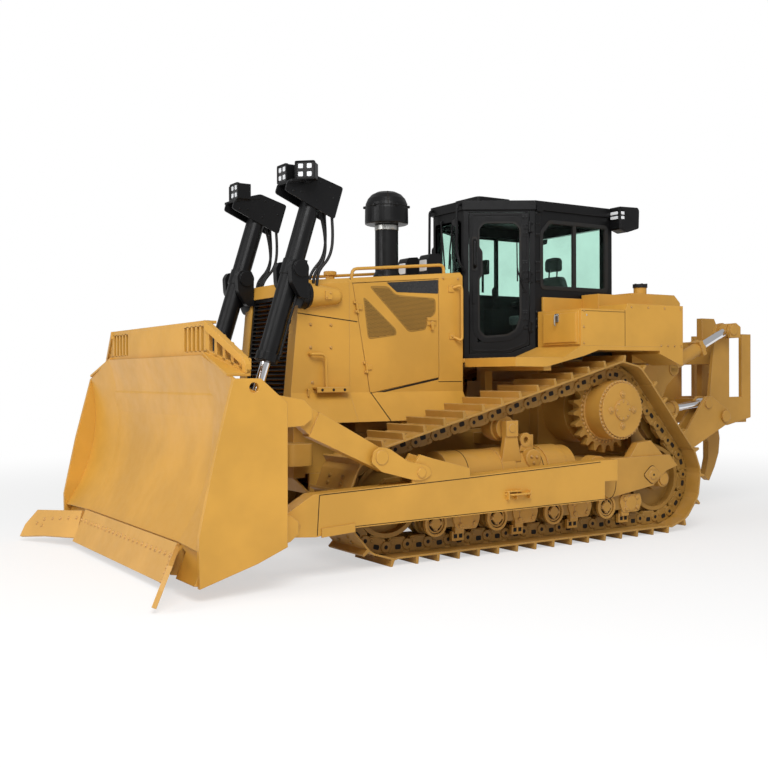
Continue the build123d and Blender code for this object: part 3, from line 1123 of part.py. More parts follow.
def ripper_lift_barrels():
    shape = shaft(rip_lift_point(20), rip_lift_point(RIP_LIFT_GLAND - 60), 82)
    shape += shaft(rip_lift_point(RIP_LIFT_GLAND - 65), rip_lift_point(RIP_LIFT_GLAND), 94)
    shape += shaft_y(RIP_LIFT_FRONT_X, RIP_LIFT_FRONT_Z, 82, RIP_ARM_IN + 4, RIP_ARM_OUT - 4)
    shape += shaft_y(RIP_LIFT_FRONT_X, RIP_LIFT_FRONT_Z, RIP_PIN, RIP_INNER_Y - 25, RIP_OUTER_Y + 25)
    shape -= shaft(rip_lift_point(70), rip_lift_point(RIP_LIFT_GLAND - 50), 68)
    shape -= shaft(rip_lift_point(RIP_LIFT_GLAND - 51), rip_lift_point(RIP_LIFT_GLAND + 1), RIP_LIFT_ROD + 0.5)
    return both(shape)


def ripper_lift_rods():
    start = RIP_LIFT_RUN - RIP_LIFT_ROD_LENGTH
    shape = shaft(rip_lift_point(start), rip_lift_point(RIP_LIFT_RUN), RIP_LIFT_ROD)
    shape += shaft(rip_lift_point(start), rip_lift_point(start + 45), 67.5)
    shape += shaft_y(RIP_LIFT_EYE_X, RIP_LIFT_EYE_Z, 74, RIP_LIFT_Y - 46, RIP_LIFT_Y + 46)
    return both(shape)


def build():
    put("main_frame", main_frame())
    put("belly_guard", belly_guard())
    put("engine_block", engine_block())
    put("radiator_guard", radiator_guard())
    put("grille", grille())
    put("hood", hood())
    put("handrails", handrails())
    put("intake_stack", intake_stack())
    put("cab_shell", cab_shell())
    put("cab_roof", cab_roof())
    put("cab_glass", cab_glass())
    put("seat", seat())
    put("console", console())
    put("platforms", platforms())
    put("side_tanks", side_tanks())
    put("tank_doors", tank_doors())
    put("fuel_tank", fuel_tank())
    put("cab_lamps", cab_lamps())
    put("final_drives", final_drives())
    put("sprockets", sprockets())
    put("roller_frames", roller_frames())
    put("idlers", idlers())
    put("track_rollers", track_rollers())
    put("carrier_rollers", carrier_rollers())
    put("track_left", track(TRACK_Y))
    put("track_right", track(-TRACK_Y))
    put("ripper_bracket", ripper_bracket())
    put("push_arms", push_arms())
    put("mouldboard", mouldboard())
    put("blade_side_plates", blade_side_plates())
    put("rock_guard", rock_guard())
    put("cutting_edge", cutting_edge())
    put("tilt_brace", tilt_brace())
    put("tilt_cylinder", tilt_cylinder())
    put("lift_barrel_left", lift_barrel())
    put("lift_barrel_right", other_side(lift_barrel()))
    put("lift_rod_left", lift_rod())
    put("lift_rod_right", other_side(lift_rod()))
    put("cab_door_left", cab_door())
    put("cab_door_right", other_side(cab_door()))
    put("door_glass_left", door_glass())
    put("door_glass_right", other_side(door_glass()))
    put("engine_door_left", engine_door())
    put("engine_door_right", other_side(engine_door()))
    put("ripper_link", ripper_link())
    put("ripper_beam", ripper_beam())
    put("ripper_shank", ripper_shank())
    put("ripper_pitch_cylinders", ripper_pitch_cylinders())
    put("ripper_lift_barrels", ripper_lift_barrels())
    put("ripper_lift_rods", ripper_lift_rods())


build()
os.makedirs("parts", exist_ok=True)
for name, shape in PARTS.items():
    export_step(shape, "parts/" + name + ".step")
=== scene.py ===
"""Looks for a high-drive crawler bulldozer: finishes, fasteners, hoses, glass, trim and a pale studio.

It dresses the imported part, which stays where the frame puts it: +X forward, +Y to the machine's left,
in metres.
Pieces are drawn in millimetres on the machine's left and mirrored to its right.
"""

import math

import bmesh
import bpy
from mathutils import Matrix, Vector


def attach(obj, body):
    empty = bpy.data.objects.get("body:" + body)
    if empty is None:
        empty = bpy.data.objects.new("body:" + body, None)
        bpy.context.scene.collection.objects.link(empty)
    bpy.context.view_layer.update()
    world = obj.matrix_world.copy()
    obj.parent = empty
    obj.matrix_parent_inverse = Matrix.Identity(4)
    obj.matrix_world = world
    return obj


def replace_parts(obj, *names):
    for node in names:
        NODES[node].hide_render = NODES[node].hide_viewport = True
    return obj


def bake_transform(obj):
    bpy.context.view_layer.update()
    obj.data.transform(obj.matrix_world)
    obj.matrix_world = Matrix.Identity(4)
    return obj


bl_info = {
    "name": "Crawler bulldozer looks",
    "version": (1, 0, 0),
    "blender": (4, 5, 0),
    "location": "3D View > Sidebar > Bulldozer",
    "description": "Finishes, fasteners, hoses and glass for a packed crawler bulldozer",
    "category": "Object",
}

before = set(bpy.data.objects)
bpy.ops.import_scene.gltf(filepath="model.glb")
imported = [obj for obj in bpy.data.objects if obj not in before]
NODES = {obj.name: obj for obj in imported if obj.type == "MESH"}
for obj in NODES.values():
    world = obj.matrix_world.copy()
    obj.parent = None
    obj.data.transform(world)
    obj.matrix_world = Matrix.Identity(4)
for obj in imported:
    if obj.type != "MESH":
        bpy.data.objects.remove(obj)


# Settings that a user would change

class PaintSettings(bpy.types.PropertyGroup):
    """Colours of the machine's finishes."""
    body: bpy.props.FloatVectorProperty(
        name="Body paint", description="Ochre paint of the bodywork", subtype="COLOR", size=3,
        min=0, max=1, default=(0.625, 0.325, 0.050))
    # the frame colour is the body paint made darker; the frame finishes also get more dust
    chassis: bpy.props.FloatVectorProperty(
        name="Frame paint", description="The same paint where it lies on castings and catches more dust",
        subtype="COLOR", size=3, min=0, max=1, default=(0.540, 0.280, 0.048))
    black: bpy.props.FloatVectorProperty(
        name="Black paint", description="Satin black of the cab and cylinders", subtype="COLOR", size=3,
        min=0, max=1, default=(0.006, 0.006, 0.0065))
    track: bpy.props.FloatVectorProperty(
        name="Track steel", description="Ochre paint and soil on shoes and links", subtype="COLOR", size=3,
        min=0, max=1, default=(0.450, 0.235, 0.042))
    dust: bpy.props.FloatVectorProperty(
        name="Dust", description="Dry soil that lies on upper faces", subtype="COLOR", size=3,
        min=0, max=1, default=(0.500, 0.280, 0.080))
    # how far the paint's edges are lightened: partly rubbed paint, partly a painted highlight
    wear: bpy.props.FloatProperty(
        name="Edge wear", description="How light the paint's edges are", min=0, max=1, default=0.22)


class FastenerSettings(bpy.types.PropertyGroup):
    """Sizes of bolts and studs."""
    hub_bolt: bpy.props.FloatProperty(
        name="Hub bolt", description="Radius of the bolt heads round each final drive", subtype="DISTANCE",
        unit="LENGTH", min=0.004, max=0.05, default=0.013)
    shoe_bolt: bpy.props.FloatProperty(
        name="Shoe bolt", description="Radius of the nuts on each track shoe", subtype="DISTANCE",
        unit="LENGTH", min=0.004, max=0.05, default=0.017)
    panel_bolt: bpy.props.FloatProperty(
        name="Panel bolt", description="Radius of the bolt heads on bodywork", subtype="DISTANCE",
        unit="LENGTH", min=0.004, max=0.05, default=0.012)


class StageSettings(bpy.types.PropertyGroup):
    """Light and floor."""
    floor: bpy.props.FloatVectorProperty(
        name="Floor", description="Pale floor", subtype="COLOR", size=3, min=0, max=1,
        default=(0.90, 0.90, 0.90))
    key: bpy.props.FloatProperty(
        name="Key light", description="Power of the large soft key light in watts", min=0, max=20000,
        default=1700)
    sky: bpy.props.FloatProperty(
        name="Sky light", description="Strength of the even light from all round", min=0, max=3, default=0.44)


# Shader node groups and materials

def named_group(name, inputs, outputs):
    group = bpy.data.node_groups.new(name, "ShaderNodeTree")
    for label, kind, default in inputs:
        socket = group.interface.new_socket(label, in_out="INPUT", socket_type=kind)
        socket.default_value = default
    for label, kind in outputs:
        group.interface.new_socket(label, in_out="OUTPUT", socket_type=kind)
    return group, group.nodes.new("NodeGroupInput"), group.nodes.new("NodeGroupOutput")


class Wiring:
    """Short names for building a node tree."""

    def __init__(self, tree):
        self.tree = tree

    def node(self, kind, **values):
        made = self.tree.nodes.new(kind)
        for key, value in values.items():
            setattr(made, key, value)
        return made

    def join(self, source, target):
        self.tree.links.new(source, target)

    def put(self, target, value):
        if isinstance(value, bpy.types.NodeSocket):
            self.join(value, target)
        else:
            target.default_value = value

    def noise(self, vector, scale, detail, roughness=0.55):
        made = self.node("ShaderNodeTexNoise")
        self.join(vector, made.inputs["Vector"])
        made.inputs["Scale"].default_value = scale
        made.inputs["Detail"].default_value = detail
        made.inputs["Roughness"].default_value = roughness
        return made.outputs["Fac"]

    def ramp(self, value, low, high, out_low=0.0, out_high=1.0):
        made = self.node("ShaderNodeMapRange", clamp=True, interpolation_type="SMOOTHSTEP")
        self.join(value, made.inputs["Value"])
        for key, number in (("From Min", low), ("From Max", high), ("To Min", out_low), ("To Max", out_high)):
            self.put(made.inputs[key], number)
        return made.outputs["Result"]

    def maths(self, operation, first, second=0.5, clamp=False):
        made = self.node("ShaderNodeMath", operation=operation, use_clamp=clamp)
        self.put(made.inputs[0], first)
        self.put(made.inputs[1], second)
        return made.outputs[0]

    def mix(self, share, first, second):
        made = self.node("ShaderNodeMix", data_type="RGBA", clamp_result=True)
        self.put(made.inputs["Factor"], share)
        self.put(made.inputs["A"], first)
        self.put(made.inputs["B"], second)
        return made.outputs["Result"]


def worn_finish_group():
    """Colour variation, dust on upper faces, edges lightened as rubbed paint and as a painted highlight, and a
    fine grain, for paint or bare metal.
    """
    group, start, end = named_group(
        "Worn finish",
        [("Paint", "NodeSocketColor", (0.6, 0.3, 0.06, 1)),
         ("Dust colour", "NodeSocketColor", (0.5, 0.3, 0.15, 1)),
         ("Rubbed and highlit edge colour", "NodeSocketColor", (0.8, 0.5, 0.2, 1)), ("Dust", "NodeSocketFloat", 0.3),
         ("Edge wear", "NodeSocketFloat", 0.3), ("Variation", "NodeSocketFloat", 0.3),
         ("Roughness low", "NodeSocketFloat", 0.35), ("Roughness high", "NodeSocketFloat", 0.6),
         ("Edge radius", "NodeSocketFloat", 0.008)],
        [("Color", "NodeSocketColor"), ("Roughness", "NodeSocketFloat"), ("Height", "NodeSocketFloat")])
    w = Wiring(group)
    place = w.node("ShaderNodeTexCoord").outputs["Object"]
    surface = w.node("ShaderNodeNewGeometry")
    broad = w.noise(place, 1.1, 4.0)
    mottle = w.noise(place, 9.0, 5.0, 0.6)
    grain = w.noise(place, 320.0, 2.0)
    shade = w.ramp(broad, 0.35, 0.65, 0.80, 1.06)
    varied = w.node("ShaderNodeVectorMath", operation="SCALE")
    w.join(start.outputs["Paint"], varied.inputs[0])
    w.join(shade, varied.inputs["Scale"])
    colour = w.mix(start.outputs["Variation"], start.outputs["Paint"], varied.outputs["Vector"])
    # dust gathers on faces that look up, in patches
    upward = w.node("ShaderNodeSeparateXYZ")
    w.join(surface.outputs["Normal"], upward.inputs[0])
    lying = w.ramp(upward.outputs["Z"], 0.25, 0.95)
    patches = w.ramp(mottle, 0.38, 0.66)
    dusty = w.maths("MULTIPLY", w.maths("MULTIPLY", lying, patches), start.outputs["Dust"], clamp=True)
    faint = w.maths("MULTIPLY", w.maths("MULTIPLY", patches, 0.25), start.outputs["Dust"], clamp=True)
    dusty = w.maths("MAXIMUM", dusty, faint)
    colour = w.mix(dusty, colour, start.outputs["Dust colour"])
    # the rounded normal leaves the true one only near an edge, where the colour is lightened: partly rubbed
    # paint, partly a painted highlight
    bevel = w.node("ShaderNodeBevel", samples=4)
    w.join(start.outputs["Edge radius"], bevel.inputs["Radius"])
    turned = w.node("ShaderNodeVectorMath", operation="DOT_PRODUCT")
    w.join(bevel.outputs["Normal"], turned.inputs[0])
    w.join(surface.outputs["Normal"], turned.inputs[1])
    edge = w.ramp(turned.outputs["Value"], 0.99, 0.80)
    edge = w.maths("MULTIPLY", edge, w.ramp(mottle, 0.3, 0.6, 0.4, 1.0))
    edge = w.maths("MULTIPLY", edge, start.outputs["Edge wear"], clamp=True)
    colour = w.mix(edge, colour, start.outputs["Rubbed and highlit edge colour"])
    w.join(colour, end.inputs["Color"])
    rough = w.node("ShaderNodeMapRange", clamp=True)
    w.join(mottle, rough.inputs["Value"])
    rough.inputs["From Min"].default_value = 0.3
    rough.inputs["From Max"].default_value = 0.7
    w.join(start.outputs["Roughness low"], rough.inputs["To Min"])
    w.join(start.outputs["Roughness high"], rough.inputs["To Max"])
    matt = w.maths("MULTIPLY", dusty, 0.25)
    w.join(w.maths("ADD", rough.outputs["Result"], matt, clamp=True), end.inputs["Roughness"])
    w.join(w.maths("ADD", w.maths("MULTIPLY", grain, 0.25), mottle), end.inputs["Height"])
    return group


def new_material(name):
    material = bpy.data.materials.new(name)
    material.use_nodes = True
    tree = material.node_tree
    return Wiring(tree), tree.nodes["Principled BSDF"]


def shaded(colour, share):
    return tuple(c * share for c in colour)


def lighter(colour, share):
    return tuple(c + (1 - c) * share for c in colour[:3]) + (1.0,)


def worn_material(name, colour, edge_colour=None, dust=0.3, wear=0.25, variation=0.6, rough=(0.38, 0.55),
                  metallic=0.0, bump=0.0006, edge_radius=0.007, dust_colour=None, coat=0.0, shine=0.35):
    """A painted or bare surface with the shared worn finish."""
    settings = bpy.context.scene.bulldozer_paint
    w, shader = new_material(name)
    finish = w.node("ShaderNodeGroup", node_tree=bpy.data.node_groups["Worn finish"])
    # the edge colour and its strength give rubbed paint and a painted highlight along edges
    for label, value in (("Paint", tuple(colour[:3]) + (1.0,)),
                         ("Dust colour", tuple((dust_colour or settings.dust)[:3]) + (1.0,)),
                         ("Rubbed and highlit edge colour", edge_colour or lighter(colour, 0.35)), ("Dust", dust),
                         ("Edge wear", wear), ("Variation", variation), ("Roughness low", rough[0]),
                         ("Roughness high", rough[1]), ("Edge radius", edge_radius)):
        finish.inputs[label].default_value = value
    w.join(finish.outputs["Color"], shader.inputs["Base Color"])
    w.join(finish.outputs["Roughness"], shader.inputs["Roughness"])
    soft_edge = w.node("ShaderNodeBevel", samples=4)
    soft_edge.inputs["Radius"].default_value = edge_radius
    relief = w.node("ShaderNodeBump")
    relief.inputs["Strength"].default_value = 0.35
    relief.inputs["Distance"].default_value = bump
    w.join(finish.outputs["Height"], relief.inputs["Height"])
    w.join(soft_edge.outputs["Normal"], relief.inputs["Normal"])
    w.join(relief.outputs["Normal"], shader.inputs["Normal"])
    shader.inputs["Metallic"].default_value = metallic
    shader.inputs["Specular IOR Level"].default_value = shine
    if coat:
        shader.inputs["Coat Weight"].default_value = coat
        shader.inputs["Coat Roughness"].default_value = 0.25


def glass_material(name, tint):
    """Tinted window glass with faint streaks."""
    w, shader = new_material(name)
    place = w.node("ShaderNodeTexCoord").outputs["Object"]
    streak = w.ramp(w.noise(place, 2.4, 3.0), 0.3, 0.7, 0.0, 1.0)
    darker = tuple(c * 0.92 for c in tint) + (1.0,)
    w.join(w.mix(streak, tuple(tint) + (1.0,), darker), shader.inputs["Base Color"])
    shader.inputs["Roughness"].default_value = 0.02
    shader.inputs["Transmission Weight"].default_value = 1.0
    shader.inputs["IOR"].default_value = 1.12


def chrome_material(name):
    w, shader = new_material(name)
    place = w.node("ShaderNodeTexCoord").outputs["Object"]
    smear = w.noise(place, 30.0, 3.0)
    shader.inputs["Metallic"].default_value = 1.0
    w.join(w.mix(smear, (0.78, 0.78, 0.79, 1), (0.62, 0.62, 0.63, 1)), shader.inputs["Base Color"])
    w.join(w.ramp(smear, 0.3, 0.7, 0.08, 0.2), shader.inputs["Roughness"])


def fabric_material(name, colour):
    """Woven seat cloth with a fine over and under pattern."""
    w, shader = new_material(name)
    place = w.node("ShaderNodeTexCoord").outputs["Object"]
    weave = w.node("ShaderNodeTexWave", wave_type="BANDS", bands_direction="DIAGONAL")
    weave.inputs["Scale"].default_value = 160.0
    weave.inputs["Distortion"].default_value = 0.4
    w.join(place, weave.inputs["Vector"])
    woven = w.mix(weave.outputs["Fac"], tuple(colour) + (1.0,), lighter(colour, 0.05))
    w.join(woven, shader.inputs["Base Color"])
    shader.inputs["Roughness"].default_value = 0.9
    shader.inputs["Sheen Weight"].default_value = 0.25
    relief = w.node("ShaderNodeBump")
    relief.inputs["Distance"].default_value = 0.001
    w.join(weave.outputs["Fac"], relief.inputs["Height"])
    w.join(relief.outputs["Normal"], shader.inputs["Normal"])


FINISH = {
    "body paint": [
        "radiator_guard", "hood", "handrails", "platforms", "side_tanks", "tank_doors", "fuel_tank",
        "engine_door_left", "engine_door_right", "blade_side_plates", "push_arms", "tilt_brace",
        "rock_guard"],
    "blade face paint": ["mouldboard"],
    "edge paint": ["cutting_edge"],
    "frame paint": [
        "main_frame", "belly_guard", "engine_block", "final_drives", "roller_frames", "carrier_rollers",
        "ripper_bracket", "ripper_link", "ripper_beam", "ripper_shank", "ripper_pitch_cylinders",
        "ripper_lift_barrels"],
    "track steel": ["track_left", "track_right"],
    "wheel paint": ["sprockets", "idlers", "track_rollers"],
    "black paint": [
        "grille", "cab_shell", "cab_roof", "cab_door_left", "cab_door_right", "lift_barrel_left",
        "lift_barrel_right", "tilt_cylinder", "intake_stack"],
    "moulded plastic": ["cab_lamps", "console"],
    "chrome": ["lift_rod_left", "lift_rod_right", "ripper_lift_rods"],
    "cab glass": ["cab_glass", "door_glass_left", "door_glass_right"],
    "seat cloth": ["seat"],
}


def make_materials():
    paint = bpy.context.scene.bulldozer_paint
    worn_finish_group()
    body, chassis, black, track = paint.body, paint.chassis, paint.black, paint.track
    worn = worn_material
    worn("body paint", body, dust=0.10, wear=paint.wear, rough=(0.34, 0.46), edge_radius=0.008)
    worn("blade face paint", body, dust=0.10, wear=paint.wear, rough=(0.30, 0.44), edge_radius=0.010)
    worn("edge paint", lighter(body, 0.04), dust=0.2, wear=0.4, rough=(0.4, 0.6))
    worn("frame paint", chassis, dust=0.35, wear=0.35, rough=(0.42, 0.62), edge_radius=0.010)
    # perforated screens: the body paint darkened to 0.55, painted shade for their holes
    worn("screen paint with painted shade", shaded(body, 0.55), dust=0.1, wear=0.1, rough=(0.5, 0.65))
    # shoes, wheels and links carry the same ochre under soil, with edges lightened as rubbed paint and painted
    # highlight; wheels and links take darker copies of it
    worn("track steel", track, edge_colour=(0.52, 0.36, 0.17, 1), dust=0.85, wear=0.8, rough=(0.42, 0.66),
         edge_radius=0.010, variation=0.9, dust_colour=(0.46, 0.255, 0.07))
    worn("wheel paint", shaded(track, 0.8), edge_colour=(0.5, 0.28, 0.07, 1), dust=0.45, wear=0.5,
         rough=(0.4, 0.6), variation=0.9)
    worn("track links", shaded(track, 0.72), edge_colour=(0.52, 0.29, 0.07, 1), dust=0.4, wear=0.6,
         rough=(0.4, 0.62), variation=0.9)
    worn("shadow gap", (0.012, 0.009, 0.006), edge_colour=(0.03, 0.02, 0.012, 1), dust=0.05, wear=0.0,
         rough=(0.7, 0.9))
    worn("black paint", black, edge_colour=(0.06, 0.06, 0.06, 1), dust=0.03, wear=0.3, rough=(0.30, 0.42),
         dust_colour=(0.05, 0.045, 0.04), shine=0.22)
    worn("moulded plastic", lighter(black, 0.006), dust=0.02, wear=0.1, rough=(0.5, 0.65), shine=0.25)
    worn("panel black", (0.030, 0.030, 0.031), edge_colour=(0.08, 0.08, 0.08, 1), dust=0.03, wear=0.1,
         rough=(0.22, 0.34))
    worn("rubber", (0.014, 0.014, 0.014), edge_colour=(0.05, 0.05, 0.05, 1), dust=0.05, wear=0.15,
         rough=(0.6, 0.8))
    worn("hose rubber", (0.010, 0.010, 0.010), edge_colour=(0.05, 0.05, 0.05, 1), dust=0.03, wear=0.1,
         rough=(0.45, 0.6), bump=0.0012)
    worn("bare steel", (0.50, 0.50, 0.48), edge_colour=(0.7, 0.7, 0.68, 1), dust=0.05, wear=0.3,
         rough=(0.25, 0.4), metallic=0.9)
    worn("lamp lens", (0.86, 0.88, 0.90), edge_colour=(0.95, 0.95, 0.95, 1), dust=0.0, wear=0.1,
         rough=(0.08, 0.16), dust_colour=(0.7, 0.68, 0.62), coat=0.6)
    chrome_material("chrome")
    glass_material("cab glass", (0.70, 0.90, 0.82))
    fabric_material("seat cloth", (0.03, 0.03, 0.033))
    for name, members in FINISH.items():
        for node in members:
            mesh = NODES[node].data
            mesh.materials.clear()
            mesh.materials.append(bpy.data.materials[name])


# Directions, and places that the frame's construction gives, in millimetres

AHEAD, LEFT, UP = (1, 0, 0), (0, 1, 0), (0, 0, 1)
HANDS = ((1, "left"), (-1, "right"))
TRACK_Y = 1125.0
SHOE_COUNT = 43
RAIL_OUT = 120.0          # from the track's centre line to the outer face of a rail of links
IDLER_Z = 598.3
FIRST_SHOE = 110.0
LOOP = ((1858.0, IDLER_Z, 439.3), (-1725.0, IDLER_Z, 439.3), (-1047.0, 1385.0, 371.5))  # x, z, pins' radius
ROLLER_PLACES = [1378.0 - 374.7 * i for i in range(8)]
ROLLER_Z = 346.3
HUB = (-1047.0, 1385.0)   # x and z of the sprocket and its drive
# outer faces of the rollers' carriers, track frames, drives, push arms, side tanks and hood
BOGIE_Y, FRAME_Y, HUB_Y, ARM_Y, TANK_Y, HOOD_Y = 1338.0, 1400.0, 1400.0, 1650.0, 1430.0, 600.0
LIFT_Y = 605.0            # plane of each lift cylinder
LIFT_PIVOT = (2525.0, 2778.0)
LIFT_DIR = Vector((0.30106733, 0, -0.95360289))
CAB_CORNER = (-430.0, 715.0)
CAB_NOSE = (230.0, 290.0)
CAB_REAR_X = -1600.0
STACK = (1150.0, 150.0)
GUARD_PLATE_X = 3676.0
HINGES = ((3295, 3540), (2790, 3030), (2276, 2480))   # foot and top of each cab door hinge

# The photograph's camera: sizes in pixels, place in metres, turns in degrees
FOCAL, PHOTO_WIDTH = 1025.5, 768
CAMERA_PLACE = (7.058, 9.377, 1.753)
CAMERA_YAW, CAMERA_PITCH, CAMERA_ROLL = 32.45, -0.40, -0.24

MOST_SWELL = 0.014        # metres that stuffing may push a cushion's cover out


def hood_top(x):
    return 2690.0 + 175.0 * (2430.0 - x) / 1950.0


# Mesh helpers

class Plane:
    """A place to draw on: outlines are given along u and v, and depths along w."""

    def __init__(self, origin, u, v, w):
        self.origin = Vector(origin)
        self.u, self.v, self.w = Vector(u).normalized(), Vector(v).normalized(), Vector(w).normalized()

    def at(self, a, b, depth=0.0):
        return self.origin + self.u * a + self.v * b + self.w * depth


SIDE = Plane((0, 0, 0), AHEAD, UP, LEFT)
ACROSS = Plane((0, 0, 0), LEFT, UP, AHEAD)
LEVEL = Plane((0, 0, 0), AHEAD, LEFT, UP)
RUN = Vector((CAB_NOSE[0] - CAB_CORNER[0], CAB_NOSE[1] - CAB_CORNER[1], 0))
DOOR = Plane((*CAB_CORNER, 0), RUN, UP, (-RUN.y, RUN.x, 0))


def eased(before, corner, after, radius, shares):
    """Points of an eased bend at a corner between two others, at these shares of its run."""
    reach = min(radius, (before - corner).length * 0.45, (after - corner).length * 0.45)
    start = corner + (before - corner).normalized() * reach
    end = corner + (after - corner).normalized() * reach
    return [start * (1 - t) ** 2 + corner * 2 * t * (1 - t) + end * t ** 2 for t in shares]


def rounded(outline, radius, steps=3):
    """The outline with each corner eased off over a distance."""
    points = [Vector(p) for p in outline]
    after = points[1:] + points[:1]
    shares = [k / steps for k in range(steps + 1)]
    made = []
    for i, corner in enumerate(points):
        made += eased(points[i - 1], corner, after[i], radius, shares)
    return made


def pane(x0, x1, y0, y1, radius, steps=3):
    """A rectangle with eased corners."""
    return rounded(((x0, y0), (x1, y0), (x1, y1), (x0, y1)), radius, steps)


def circle(centre, u, v, radius, sides):
    turns = [math.tau * i / sides for i in range(sides)]
    return [centre + (u * math.cos(a) + v * math.sin(a)) * radius for a in turns]


def inset(outline, distance):
    """The outline moved inward by a distance, or outward when that is negative."""
    points = [Vector(p) for p in outline]
    count = len(points)
    area = sum(points[i - 1].x * points[i].y - points[i].x * points[i - 1].y for i in range(count))
    turn = 1 if area > 0 else -1
    made = []
    for i in range(count):
        before = (points[i] - points[i - 1]).normalized()
        after = (points[(i + 1) % count] - points[i]).normalized()
        normal = Vector((-before.y - after.y, before.x + after.x)) * turn
        normal.normalize()
        along = normal.dot(Vector((-after.y, after.x)) * turn)
        made.append(points[i] + normal * distance / max(along, 0.4))
    return made


class Work:
    """Collects closed solids, given in millimetres, into one mesh."""

    def __init__(self):
        self.bm = bmesh.new()

    def skin(self, rings, loop=False):
        """A closed solid over rings of points, each with as many points as the next."""
        made = [[self.bm.verts.new(Vector(p) / 1000) for p in ring] for ring in rings]
        pairs = list(zip(made, made[1:]))
        if loop:
            pairs.append((made[-1], made[0]))
        faces = []
        count = len(rings[0])
        for first, second in pairs:
            for i in range(count):
                j = (i + 1) % count
                faces.append(self.bm.faces.new((first[i], first[j], second[j], second[i])))
        if not loop:
            faces.append(self.bm.faces.new(made[0][::-1]))
            faces.append(self.bm.faces.new(made[-1]))
        bmesh.ops.recalc_face_normals(self.bm, faces=faces)

    def plate(self, plane, outline, low, high):
        self.skin([[plane.at(a, b, depth) for a, b in outline] for depth in (low, high)])

    def frame(self, plane, outer, inner, low, high):
        """A plate with a hole; both outlines have as many points."""
        edges = ((outer, low), (outer, high), (inner, high), (inner, low))
        self.skin([[plane.at(a, b, depth) for a, b in outline] for outline, depth in edges], loop=True)

    def block(self, x0, x1, y0, y1, z0, z1):
        self.plate(LEVEL, ((x0, y0), (x1, y0), (x1, y1), (x0, y1)), z0, z1)

    def turned(self, profile, origin, axis=LEFT, sides=24, loop=False):
        """A shape turned about an axis; the profile gives places along it and radii."""
        axis = Vector(axis).normalized()
        u = axis.orthogonal().normalized()
        v = axis.cross(u)
        rings = []
        for along, radius in profile:
            centre = Vector(origin) + axis * along
            rings.append(circle(centre, u, v, max(radius, 0.5), sides))
        self.skin(rings, loop)

    def disc(self, x, z, radius, y0, y1, sides=24):
        self.turned(((y0, radius), (y1 - 2, radius), (y1, radius - 2)), (x, 0, z), sides=sides)

    def hoop(self, origin, outer, inner, low, high, axis=LEFT, sides=28):
        """A ring with square edges."""
        profile = ((low, outer), (high, outer), (high, inner), (low, inner))
        self.turned(profile, origin, axis, sides, loop=True)

    def ribbon(self, points, normal, width, thick=1.6):
        """Flat strips along a line of points on a surface."""
        normal = Vector(normal).normalized()
        line = [Vector(p) for p in points]
        for start, end in zip(line, line[1:]):
            across = (end - start).cross(normal).normalized() * width / 2
            foot = [start - across, start + across, end + across, end - across]
            self.skin([[p - normal * 2 for p in foot], [p + normal * thick for p in foot]])

    def bar(self, points, radius, sides=10, bend=60.0):
        """A round bar along a line of points, with eased bends."""
        points = [Vector(p) for p in points]
        line = points[:1]
        for before, corner, after in zip(points, points[1:], points[2:]):
            line += eased(before, corner, after, bend, (0, 0.33, 0.67, 1))
        self.tube(line + points[-1:], radius, sides)

    def tube(self, line, radius, sides=10):
        """A round tube whose rings follow the line without twisting."""
        heading = (line[1] - line[0]).normalized()
        u = heading.orthogonal().normalized()
        rings = []
        for i, place in enumerate(line):
            before = line[max(i - 1, 0)]
            after = line[min(i + 1, len(line) - 1)]
            turned_to = (after - before).normalized()
            u = (u - turned_to * u.dot(turned_to)).normalized()
            v = turned_to.cross(u)
            rings.append(circle(place, u, v, radius, sides))
        self.skin(rings)

    def mirror(self, keep=True):
        """The same on the machine's other side, as well or instead."""
        geometry = self.bm.verts[:] + self.bm.edges[:] + self.bm.faces[:]
        if keep:
            made = bmesh.ops.duplicate(self.bm, geom=geometry)["geom"]
        else:
            made = geometry
        for vert in [g for g in made if isinstance(g, bmesh.types.BMVert)]:
            vert.co.y = -vert.co.y
        bmesh.ops.reverse_faces(self.bm, faces=[g for g in made if isinstance(g, bmesh.types.BMFace)])
        return self

    def on_side(self, side):
        """Drawn on the machine's left, and moved to its right where the side is negative."""
        return self.mirror(keep=False) if side < 0 else self

    def mesh(self, name):
        made = bpy.data.meshes.new(name)
        self.bm.to_mesh(made)
        self.bm.free()
        return made

    def piece(self, name, material, body="chassis", slot="body_yellow"):
        return finished(name, self.mesh(name), material, body)


def baked(made):
    """A plain mesh of an object as its modifiers or its curve leave it."""
    bpy.context.view_layer.update()
    return bpy.data.meshes.new_from_object(made.evaluated_get(bpy.context.evaluated_depsgraph_get()))


def linked(name, data):
    """An object in the scene that carries the mesh, curve, lamp or camera."""
    made = bpy.data.objects.new(name, data)
    bpy.context.scene.collection.objects.link(made)
    return made


def finished(name, mesh, material, body):
    """A mesh as a named piece that rides on a body, or on none yet."""
    made = linked(name, mesh)
    mesh.materials.clear()
    mesh.materials.append(bpy.data.materials[material])
    if body:
        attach(made, body)
    return made


